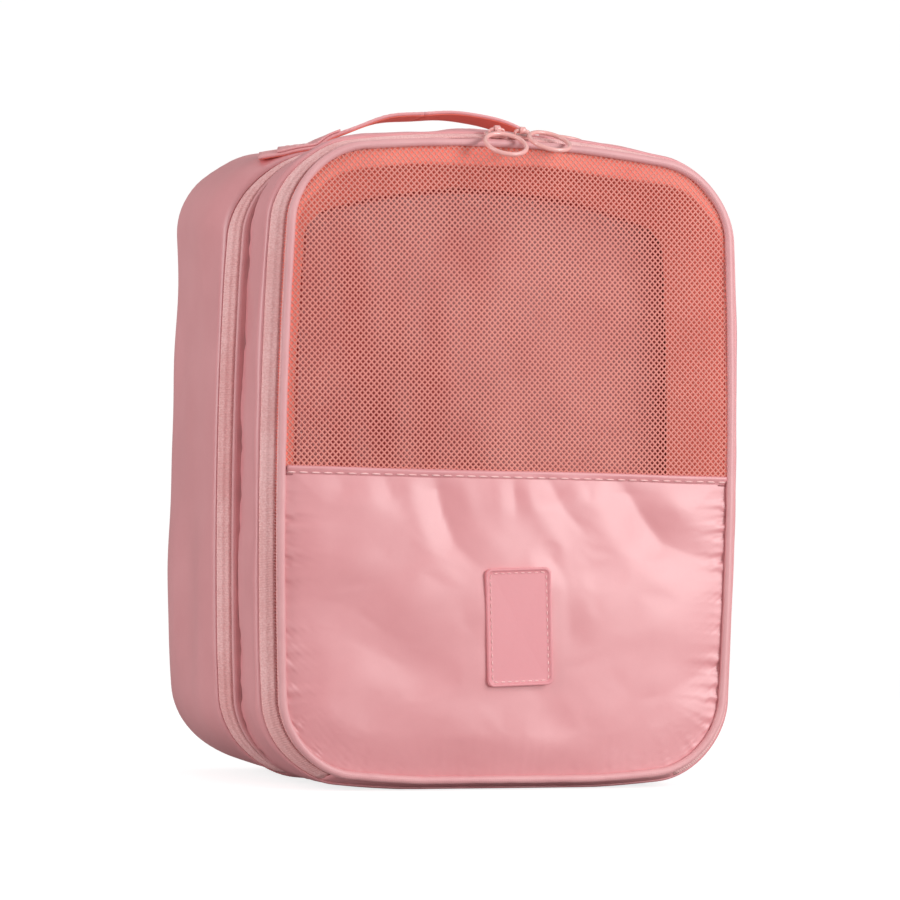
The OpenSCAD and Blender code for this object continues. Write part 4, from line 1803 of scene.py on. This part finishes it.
@dataclass
class RearCompartment:
    """The deep compartment: gusset with a rounded rear edge, back panel and zip."""

    room: Workroom
    zips: ZipMaker
    rear_round_d: float = 136.0
    rear_edge_r: float = 20.0
    side_full: float = 17.9
    rise_full: float = 5.6
    fold_height: float = 1.35
    corner_full: float = 4.6
    corner_slack: float = -0.8
    base_lift: float = 3.6
    body: str = "rear_compartment"
    front: str = "front_compartment"

    def __post_init__(self) -> None:
        """Draws the cloth's folds."""
        self.folds = Ripples(41, (26, 110), (1, 1.0, 1.6), 36)

    def build(self) -> Grid:
        """Makes every piece of the rear compartment but the handle.

        Returns:
            The gusset's surface, which the handle lies on.
        """
        surface = self.gusset()
        self.back()
        self.tapes()
        self.hinge()
        return surface

    def skin(self, inset: float, start: float) -> Grid:
        """Gives the gusset's surface, sunk by an inset, from a depth to the back.

        Args:
            inset: how far it is sunk.
            start: its first depth.

        Returns:
            Rows round the bag by columns across the wall.
        """
        depths = (60, 66, 74, 81.7, 90, 99, 108.85, 118, 127)
        rows = OUTLINE.skin([start, *(d for d in depths if d > start + 2)], inset)
        r = self.rear_edge_r - inset
        for a in np.radians(np.arange(0, 91, 11.25)):
            depth = self.rear_round_d + r * math.sin(a)
            sunk = self.rear_edge_r - r * math.cos(a)
            rows.append((depth, self.side_full, self.rise_full, sunk))
        return OUTLINE.laid(*rows)

    def filled(self, surface: Grid) -> Grid:
        """Fills out the wall's upper corners, and lifts it off the ground at the sides.

        Args:
            surface: rows round the bag by columns across the wall.

        Returns:
            The filled surface.
        """
        x, depth, z = np.moveaxis(surface, -1, 0)
        near = np.exp(-(((np.abs(x) - 122) / 26) ** 2) - ((z - 292) / 30) ** 2)
        hold = np.clip(np.minimum((depth - 54.0) / 18, (158 - depth) / 16), 0, 1)
        low = np.exp(-(((np.abs(x) - 124) / 22) ** 2) - ((z - 26) / 22) ** 2)
        amount = self.corner_full * near - self.corner_slack * low
        surface = lifted(surface, amount * hold, True)
        raised = np.exp(-(((np.abs(x) - 118) / 34) ** 2) - (z / 24) ** 2)
        surface[..., 2] += self.base_lift * raised * np.clip((depth - 56) / 16, 0, 1)
        return surface

    def rumpled(self, surface: Grid) -> Grid:
        """Fills the wall and lays folds in it, none at its seams.

        Args:
            surface: rows round the bag by columns across the wall.

        Returns:
            The folded surface.
        """
        surface = self.filled(surface)
        depth = surface[..., 1]
        hold = np.clip(np.minimum((depth - 54.5) / 16, (156.2 - depth) / 10), 0, 1)
        hold = hold * np.clip(surface[..., 2] / 30, 0.1, 1)
        folds = self.folds.at(surface) * self.fold_height * hold
        surface = lifted(surface, folds, True)
        surface[..., 2] = np.maximum(surface[..., 2], 0)
        return surface

    def gusset(self) -> Grid:
        """Makes the gusset's cloth, foam and lining.

        Returns:
            The cloth's surface.
        """
        surface = self.rumpled(self.skin(0.0, 54.6))
        gusset = self.room.band("rear_gusset", surface, SHELL_THICK, SHELL_CLOTH, self.body)
        foam = self.rumpled(self.skin(1.3, 59.5))
        self.room.band("rear_gusset_foam", foam, FOAM_THICK, FOAM, self.body)
        lining = self.rumpled(self.skin(3.5, 54.6))
        piece = self.room.band(
            "rear_gusset_lining", lining, LINING_THICK, LINING_CLOTH, self.body
        )
        return surface

    def back(self) -> None:
        """Makes the back panel with its board and lining."""
        for name, depth, thick, finish in (
            ("back_panel", 156.0, 0.9, SHELL_CLOTH),
            ("back_board", 154.8, 1.9, FOAM),
            ("back_lining", 152.6, LINING_THICK, LINING_CLOTH),
        ):
            surface = whole_panel((depth, self.side_full, self.rise_full, 20.2))
            share = self.edge(surface)
            surface[..., 1] -= 0.5 * (1 - share)
            surface[..., 1] += self.folds.at(surface) * 0.25 * share
            piece = self.room.band(name, surface, thick, finish, self.body, wrap=False)

    @staticmethod
    def edge(surface: Grid) -> Grid:
        """Gives 0 at the panel's edge, rising to 1 inside it.

        Args:
            surface: rows by columns of places.

        Returns:
            A share for each place.
        """
        rows, columns = surface.shape[:2]
        i = np.minimum(np.arange(rows), rows - 1 - np.arange(rows))[:, None]
        j = np.minimum(np.arange(columns), columns - 1 - np.arange(columns))[None]
        return np.clip(np.minimum(i, j) / 5, 0, 1)

    def tapes(self) -> None:
        """Makes the rear half of the second zip."""
        tape = (
            (51.6, 7.8, 4.9, 0.2), (52.3, 8.8, 5.0, 0.0), (53.2, 11.0, 4.9, 0.1),
            (54.4, 13.9, 4.6, 0.6), (56, 14.6, 4.6, 1.2), (58.5, 15.1, 4.7, 1.3),
        )
        self.zips.tape("second_zip_rear_tape", tape, self.body, TAPE_CLOTH)
        self.zips.teeth("second_zip_rear_coil", (52.1, 8.3, 4.9, 1.3), self.body)
        self.zips.end_tabs("second_zip_end_tabs", (52.5, 8.7, 4.9, 2.2), self.body)

    def hinge(self) -> None:
        """Makes the cloth that joins the two compartments along the base."""
        surface = OUTLINE.laid(
            (44, 6.0, 5.0, 3.2), (48.6, 5.2, 4.2, 3.0), (49.8, 5.2, 4.2, 1.2),
            (50.3, 5.9, 4.4, 0.3), (51.2, 7.6, 4.8, 0.1), (52.3, 8.9, 5.0, 0.0),
            (53.2, 11.0, 4.9, 0.1), (54.4, 13.9, 4.6, 0.6), (58.5, 15.1, 4.7, 1.3),
        )
        cloth = self.room.band(
            "rear_hinge_cloth", along_hinge(surface), HINGE_THICK, SHELL_CLOTH, wrap=False
        )
        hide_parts("rear_hinge_cloth", "rear_hinge_flap")
        start, end = self.room.metres([[0, 50.9, 1.0], [0, 53.1, 1.0]])
        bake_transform(cloth)


# -------------------------------------------------------------------- handle


@dataclass
class CarryHandle:
    """One sewn strap, its middle standing in an arch above the bag's top."""

    room: Workroom
    beads: BeadTree
    top: Grid
    strap_d: float = 60.05
    strap_w: float = 25.0
    strap_t: float = 1.9
    span: float = 228.0
    arch_x: float = -28.0
    arch_left: float = 56.0
    arch_right: float = 72.0
    arch_rise: float = 16.4
    free_x: float = 100.0
    free_slope: float = 0.22
    clear: float = 0.2
    tongue: float = 10.0
    lap: float = 33.0
    lap_thick: float = 1.15
    under_thick: float = 0.4
    cut_back: float = 0.3
    sway: tuple[float, float] = (-47.0, 16.0)
    body: str = "rear_compartment"
    arch_body: str = "handle"

    def height(self, x: float, across: float = 0.0) -> float:
        """Gives the strap's underside at a place along and across it.

        Args:
            x: place across the bag.
            across: distance from the strap's front edge.

        Returns:
            Its height in millimetres.
        """
        d = self.strap_d + min(max(across, 0.0), self.strap_w)
        run = (x - self.arch_x) / (self.arch_left if x < self.arch_x else self.arch_right)
        bow = max(1 - run * run, 0)
        arch = self.arch_rise * 1.1 * bow * bow / (bow + 0.1)
        held = min(arch / 3, 1.0)
        level = self.rest(x, self.strap_d + self.strap_w * 0.8)
        lying = (1 - held) * self.rest(x, d) + held * level + arch + self.clear
        past = abs(x) - self.free_x
        if past > 0:
            root = self.rest(math.copysign(self.free_x, x), d)
            lying = max(lying, root + self.clear - self.free_slope * past)
        return lying

    def rest(self, x: float, d: float) -> float:
        """Gives the height of the bag's top at a place.

        Args:
            x: place across the bag.
            d: its depth.

        Returns:
            The height in millimetres.
        """
        depths = self.top[len(self.top) // 2, :, 1]
        j = max(int(np.searchsorted(depths, d)) - 1, 0)
        heights = []
        for k in (j, j + 1):
            line = self.top[:, k]
            line = line[line[:, 2] > 210]
            order = line[:, 0].argsort()
            heights.append(float(np.interp(x, line[order, 0], line[order, 2])))
        share = min(max((d - depths[j]) / (depths[j + 1] - depths[j]), 0), 1)
        return heights[0] * (1 - share) + heights[1] * share

    def section(self, low: float, high: float) -> list[tuple[float, float]]:
        """Gives a rounded closed cross-section between two heights.

        Args:
            low: underside, above the strap's line.
            high: upper side, above the strap's line.

        Returns:
            Distances from the strap's front edge, with their heights.
        """
        side = 0.8 if high < self.strap_t / 2 else 0.0
        w, r = self.strap_w - 2 * side, (high - low) / 2
        mid = (high + low) / 2
        turn = np.radians([-60, -30, 0, 30, 60])
        across = np.linspace(r, w - r, 9)
        over = [(d, high - 0.12 * math.sin(np.pi * d / w)) for d in across]
        right = [(w - r + r * math.cos(a), mid + r * math.sin(a)) for a in turn[::-1]]
        under = [(d, low) for d in across[::-1]]
        left = [(r - r * math.cos(a), mid + r * math.sin(a)) for a in turn]
        return [(d + side, h) for d, h in over + right + under + left]

    def length(self, start: float, end: float, low: float, high: float) -> Shell:
        """Makes a length of strap.

        Args:
            start: its first place across the bag.
            end: its last place across the bag.
            low: underside, above the strap's line.
            high: upper side, above the strap's line.

        Returns:
            The shell.
        """
        xs = np.linspace(start, end, max(int(abs(end - start) / 2.5), 4))
        section = self.section(low, high)
        rows = []
        for x in xs:
            slope = (self.height(x + 1) - self.height(x - 1)) / 2
            n = math.hypot(1, slope)
            slant = self.slant(x, start, end)
            rows.append(
                [
                    (
                        x - slope / n * h - slant * d,
                        self.strap_d + d,
                        self.height(x - slant * d, d) + h / n,
                    )
                    for d, h in section
                ]
            )
        return loft(np.array(rows))

    def slant(self, x: float, start: float, end: float) -> float:
        """Gives how far the strap's outer ends are cut back towards the rear.

        Args:
            x: place across the bag.
            start: the length's first place.
            end: the length's last place.

        Returns:
            The slope of the cut, positive on the right.
        """
        outer = start if abs(start) > abs(end) else end
        near = max(1 - abs(x - outer) / 24, 0)
        return math.copysign(self.cut_back * near, outer)

    def build(self) -> None:
        """Makes the strap's two halves, its doubled ends and its stitches."""
        self.halves()
        half = self.span / 2
        low = self.strap_t + 0.05
        laps = []
        for sign in (-1, 1):
            a, b = sign * (half - self.tongue - self.lap), sign * (half - self.tongue)
            laps.append(self.length(min(a, b), max(a, b), low, low + self.lap_thick))
        self.room.make("handle_laps", laps, STRAP_CLOTH, self.body, stands=False)
        self.stitches()

    def halves(self) -> None:
        """Makes the strap's left and right half, each with its underside."""
        half = self.span / 2
        low = -0.1
        mid = low + self.under_thick
        # The underside takes the coral lining, redder and darker than the strap: painted
        # shade under the strap, with its coloured bounce.
        layers = ((mid, self.strap_t, STRAP_CLOTH), (low, mid, LINING_CLOTH))
        for side, start, end, node, fold in (
            ("left", -half, self.arch_x, "handle_end_left", (-55.6, -39.6)),
            ("right", self.arch_x, half, "handle_end_right", (24.6, 8.6)),
        ):
            names = (f"handle_strap_{side}", f"handle_underside_{side}")
            for name, (lo, hi, finish) in zip(names, layers):
                piece = self.room.make(name, [self.length(start, end, lo, hi)], finish)
                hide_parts(node, "handle_arch")
                a, b = self.room.metres([[x, 70, 330] for x in fold])
                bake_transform(piece)

    def seam(self, xs: Grid, edge: float, lift: float) -> Grid:
        """Gives a line of sewing along the strap.

        Args:
            xs: places across the bag.
            edge: distance from the strap's front edge.
            lift: height above the strap's line.

        Returns:
            The line's points.
        """
        return np.array(
            [(x, self.strap_d + edge, self.height(x, edge) + lift) for x in xs]
        )

    def stitches(self) -> None:
        """Sews the strap down both edges, and its doubled ends to the bag."""
        inner = self.span / 2 - self.tongue - self.lap
        xs = np.arange(-inner + 2, inner - 2, 2.0)
        seams = [
            self.seam(xs, edge, self.strap_t) for edge in (2.2, self.strap_w - 2.2)
        ]
        box = [
            self.seam(
                sign * np.linspace(inner + 2, inner + self.lap - 11, 12),
                edge,
                self.strap_t + 1.2,
            )
            for sign in (-1, 1)
            for edge in (2.4, self.strap_w - 2.4)
        ]
        left, right = self.sway
        swayed = [line[(line[:, 0] > left) & (line[:, 0] < right)] for line in seams]
        fixed = [line[line[:, 0] < left - 1] for line in seams]
        fixed += [line[line[:, 0] > right + 1] for line in seams]
        sizes = {"pitch": 4.0, "length": 2.8, "thickness": 0.5}
        for name, paths, body in (
            ("handle_stitches", fixed + box, self.body),
            ("handle_arch_stitches", swayed, self.arch_body),
        ):
            self.beads.grow(name, paths, THREAD, body, stands=False, **sizes)


# ---------------------------------------------------------- sliders and rings


@dataclass
class ZipSlider:
    """A lacquered slider with its bridge, and the round wire ring it carries."""

    room: Workroom
    name: str
    pull_name: str
    x: float
    depth: float
    split_z: float
    full: float
    lean: float
    turn: float
    roll: float
    coil_low: float
    length: float = 11.5
    width: float = 6.8
    plate: float = 1.3
    tilt: float = 25.0
    lift: float = 0.8
    shift: float = 0.8
    bar_d: float = 1.5
    bar_y: float = -1.316
    bar_z: float = 4.241
    ring_r: float = 10.15
    wire: float = 2.2
    ring_centre: float = 14.85
    eye_d: float = 3.6
    eye_half: float = 1.5
    eye_gap: float = 0.3
    web_half: float = 1.45

    def frame(self) -> Matrix:
        """Gives the zip's line at the slider.

        Returns:
            Its place and lean, in millimetres.
        """
        drop = OUTLINE.top_drop(self.x / (OUTLINE.half_w + self.full), self.depth)
        slope = math.atan(2 * drop / self.x)
        return Matrix.Translation((self.x, self.depth, self.split_z - drop)) @ (
            Matrix.Rotation(slope, 4, "Y")
        )

    @staticmethod
    def moved(points: Grid, by: Matrix) -> Grid:
        """Moves points by a matrix."""
        m = np.array(by)
        return points @ m[:3, :3].T + m[:3, 3]

    def build(self) -> None:
        """Makes the slider and its ring."""
        base = self.frame()
        tip = (
            base
            @ Matrix.Rotation(math.radians(self.tilt), 4, "X")
            @ Matrix.Translation((0, self.shift, self.lift))
        )
        body = [self.plate_shell(tip), self.bridge(base, tip), *self.foot(base)]
        self.room.make(self.name, body, LACQUERED_ZINC, self.name)
        hang = (
            base
            @ Matrix.Translation((0, self.bar_y, self.bar_z))
            @ Matrix.Rotation(math.radians(self.lean), 4, "X")
        )
        self.room.make(self.pull_name, self.ring(hang), LACQUERED_ZINC, self.pull_name)

    def plate_shell(self, tip: Matrix) -> Shell:
        """Makes the slider's crowned top plate, with rounded corners.

        Args:
            tip: the plate's place, leaning back.

        Returns:
            The plate.
        """
        turn = full_turn(40)
        c, s = np.cos(turn), np.sin(turn)
        x = np.sign(c) * np.abs(c) ** 0.55 * self.length / 2
        y = np.sign(s) * np.abs(s) ** 0.55 * self.width / 2
        layers = (
            (0.03, 0.02), (0.3, 0.02), (0.94, 0.0), (0.985, 0.12), (1.0, 0.4),
            (1.0, 0.8), (0.975, 1.08), (0.92, 1.24), (0.7, 1.32), (0.3, 1.36),
            (0.05, 1.36),
        )
        rows = [np.stack([x * k, y * k, 0 * x + z], 1) for k, z in layers]
        return loft(self.moved(np.stack(rows), tip))

    def bridge(self, base: Matrix, tip: Matrix) -> Shell:
        """Bends the bridge that the ring's eye hangs on.

        Args:
            base: the zip's line.
            tip: the plate's place.

        Returns:
            The bridge.
        """
        bar = base @ Matrix.Translation((0, self.bar_y, self.bar_z))
        top = tip.inverted() @ bar.translation
        turn = np.linspace(0, np.pi, 25)
        foot_z = self.plate - 0.3
        path = np.stack(
            [
                -3.5 * np.sign(np.cos(turn)) * np.abs(np.cos(turn)) ** 0.5,
                0 * turn + top.y,
                foot_z + (top.z - foot_z) * np.sin(turn) ** 0.35,
            ],
            1,
        )
        return loft(tube(self.moved(path, tip), self.bar_d / 2))

    def foot(self, base: Matrix) -> list[Shell]:
        """Makes the web between the coils and the foot under the front half.

        Args:
            base: the zip's line.

        Returns:
            The web and the foot.
        """
        low = self.coil_low + 2.3
        corners = np.array([(-1, -1), (1, -1), (1, 1), (-1, 1)]) * (self.web_half, 0.15)
        rows = [np.c_[corners, [z] * 4] for z in np.linspace(-low, self.lift + 0.3, 4)]
        web = loft(self.moved(np.stack(rows), base))
        turn = full_turn(16)
        c, s = np.cos(turn), np.sin(turn)
        layers = ((0.2, 0), (0.9, 0), (1, 0.3), (1, 1), (0.9, 1.3), (0.2, 1.3))
        pads = [
            np.c_[1.5 * k * c, 0.55 * k * s - 0.45, 0 * turn + z - low] for k, z in layers
        ]
        return [web, loft(self.moved(np.stack(pads), base))]

    def ring(self, hang: Matrix) -> list[Shell]:
        """Bends the ring, with its neck and the eye round the bar.

        Args:
            hang: the bar's place, leaning as the ring hangs.

        Returns:
            The ring, the neck and the eye.
        """
        spin = hang @ Matrix.Rotation(math.radians(self.turn), 4, "Z")
        spin = spin @ Matrix.Rotation(math.radians(self.roll), 4, "Y")
        turn, small = full_turn(72)[:, None], full_turn(16)[None, :]
        away = self.ring_r + self.wire / 2 * np.cos(small)
        grid = np.stack(
            [
                away * np.sin(turn),
                away * np.cos(turn) - self.ring_centre,
                self.wire / 2 * np.sin(small) + 0 * turn,
            ],
            -1,
        )
        shells = [loft(self.moved(grid, spin), wrap_rows=True)]
        neck = np.stack([np.zeros(6), np.linspace(-1.6, -4.4, 6), np.zeros(6)], 1)
        radii = [0.85, 0.78, 0.75, 0.78, 0.9, 1.05]
        shells.append(loft(tube(self.moved(neck, spin), radii)))
        half, inner, outer = self.eye_half, self.bar_d / 2 + self.eye_gap, self.eye_d / 2
        loop = [
            (-half + 0.2, inner),
            (-half, inner + 0.2),
            (-half, outer - 0.3),
            (-half + 0.3, outer),
            (half - 0.3, outer),
            (half, outer - 0.3),
            (half, inner + 0.2),
            (half - 0.2, inner),
        ]
        eye = np.array(
            [
                [(x, r * math.cos(a), r * math.sin(a)) for x, r in loop]
                for a in full_turn(32)
            ]
        )
        shells.append(loft(self.moved(eye, hang), wrap_rows=True))
        return shells


# --------------------------------------------------------------------- stage


@dataclass
class Studio:
    """A plain pale floor, soft lights and the camera."""

    room: Workroom
    floor_r: float = 3.0
    floor_z: float = -0.0002
    floor_glow: float = 0.8
    fade: tuple[float, float] = (0.3, 1.2)
    lens: float = 120.0
    # The camera's place and what it looks at, in the bag's millimetres, and its roll.
    eye: tuple[float, float, float] = (-502.75, -1367.64, 120.72)
    aim: tuple[float, float, float] = (-32.1, 0, 163.9)
    roll: float = 0.97
    ambient: float = 0.34
    backdrop: float = 1.02

    def build(self) -> None:
        """Sets up the floor, the lights, the world and the camera."""
        self.floor()
        self.lights()
        self.camera()

    def floor(self) -> None:
        """Lays the pale floor, which fades into the backdrop."""
        r, z = self.floor_r, self.floor_z
        points = [(0, 0, z)]
        points += [(r * math.cos(a), r * math.sin(a), z) for a in full_turn(64)]
        faces = [(0, k + 1, (k + 1) % 64 + 1) for k in range(64)]
        mesh = bpy.data.meshes.new("floor")
        mesh.from_pydata(points, [], faces)
        # Matt white paper: it takes the bag's shadow, and fades out round it.
        made = bpy.data.materials.new("matt_paper")
        made.use_nodes = True
        tree = made.node_tree
        node = partial(add_node, tree)
        shader = tree.nodes["Principled BSDF"]
        shader.inputs["Base Color"].default_value = linear("#b4b2b2")
        shader.inputs["Emission Color"].default_value = (1.0, 1.0, 1.0, 1.0)
        seen = node("ShaderNodeLightPath").outputs["Is Camera Ray"]
        glow = node(
            "ShaderNodeMapRange", {"Value": seen, "To Min": 0.0, "To Max": self.floor_glow}
        )
        tree.links.new(glow.outputs[0], shader.inputs["Emission Strength"])
        shader.inputs["Roughness"].default_value = 0.9
        place = node("ShaderNodeTexCoord")
        reach = node(
            "ShaderNodeVectorMath", {0: place.outputs["Object"]}, operation="LENGTH"
        )
        fade = node(
            "ShaderNodeMapRange",
            {
                "Value": reach.outputs["Value"],
                "From Min": self.fade[0],
                "From Max": self.fade[1],
            },
            interpolation_type="SMOOTHSTEP",
        )
        clear = node("ShaderNodeBsdfTransparent")
        mixed = node(
            "ShaderNodeMixShader",
            {0: fade.outputs[0], 1: shader.outputs[0], 2: clear.outputs[0]},
        )
        tree.links.new(mixed.outputs[0], tree.nodes["Material Output"].inputs["Surface"])
        mesh.materials.append(made)
        floor = put_in_scene("floor", mesh)

    def lights(self) -> None:
        """Hangs the soft lights and lights the world."""
        world = bpy.data.worlds.new("studio")
        bpy.context.scene.world = world
        world.use_nodes = True
        tree = world.node_tree
        node = partial(add_node, tree)
        seen = node("ShaderNodeLightPath").outputs["Is Camera Ray"]
        glow = node(
            "ShaderNodeMapRange",
            {"Value": seen, "To Min": self.ambient, "To Max": self.backdrop},
        )
        back = tree.nodes["Background"]
        back.inputs["Color"].default_value = (1.0, 0.99, 0.985, 1.0)
        tree.links.new(glow.outputs[0], back.inputs["Strength"])
        for name, place, aim, size, power in (
            ("key_softbox", (1.15, -1.15, 0.95), (0, 0, 0.17), 0.8, 13.0),
            ("sheen_softbox", (0.95, -1.5, 0.35), (0, 0, 0.15), 0.5, 13.0),
            ("top_softbox", (0.0, 0.2, 1.8), (0, 0, 0.1), 1.6, 4.0),
            ("left_softbox", (-1.9, -0.5, 0.55), (0, 0, 0.17), 1.0, 19.0),
        ):
            light = bpy.data.lights.new(name, "AREA")
            light.shape = "SQUARE"
            light.size = size
            light.energy = power
            lamp = put_in_scene(name, light)
            lamp.location = place
            way = Vector(aim) - Vector(place)
            lamp.rotation_euler = way.to_track_quat("-Z", "Y").to_euler()
        bpy.context.scene.view_settings.view_transform = "Standard"

    def camera(self) -> None:
        """Places the camera in front, to the left and a little low."""
        view = bpy.data.cameras.new("camera")
        view.lens, view.sensor_width = self.lens, 36.0
        view.clip_end = 20
        camera = put_in_scene("camera", view)
        place, aim = (Vector(self.room.metres(point)) for point in (self.eye, self.aim))
        turn = (aim - place).to_track_quat("-Z", "Y").to_matrix().to_4x4()
        roll = Matrix.Rotation(math.radians(self.roll), 4, "Z")
        camera.matrix_world = Matrix.Translation(place) @ turn @ roll
        bpy.context.scene.camera = camera


def main() -> None:
    """Builds the bag and its studio."""
    logging.basicConfig(level=logging.INFO, format="%(message)s")
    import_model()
    room = Workroom()
    yarn, beads = YarnTree(room), BeadTree(room)
    zips = ZipMaker(room, beads)
    Studio(room).build()
    Lid(room, yarn, beads, zips).build()
    FrontCompartment(room, zips).build()
    top = RearCompartment(room, zips).build()
    CarryHandle(room, beads, top).build()
    # Each zip's depth, height at the middle, fullness, and reach of its coil below.
    front = (4.4, 316.9, 1.0, 2.5)
    rear = (52.0, 321.3, 8.3, 2.2)
    for name, x, (depth, z, full, low), lean, turn, roll in (
        ("front_{}_left", -9.5, front, 36, 1, 0),
        ("front_{}_right", 3.5, front, 35, 50, 5),
        ("rear_{}_left", 44.0, rear, 4, -30, 0),
        ("rear_{}_right", 57.5, rear, 4, 30, 0),
    ):
        names = name.format("slider"), name.format("pull")
        ZipSlider(room, *names, x, depth, z, full, lean, turn, roll, low).build()


if __name__ == "__main__":
    main()
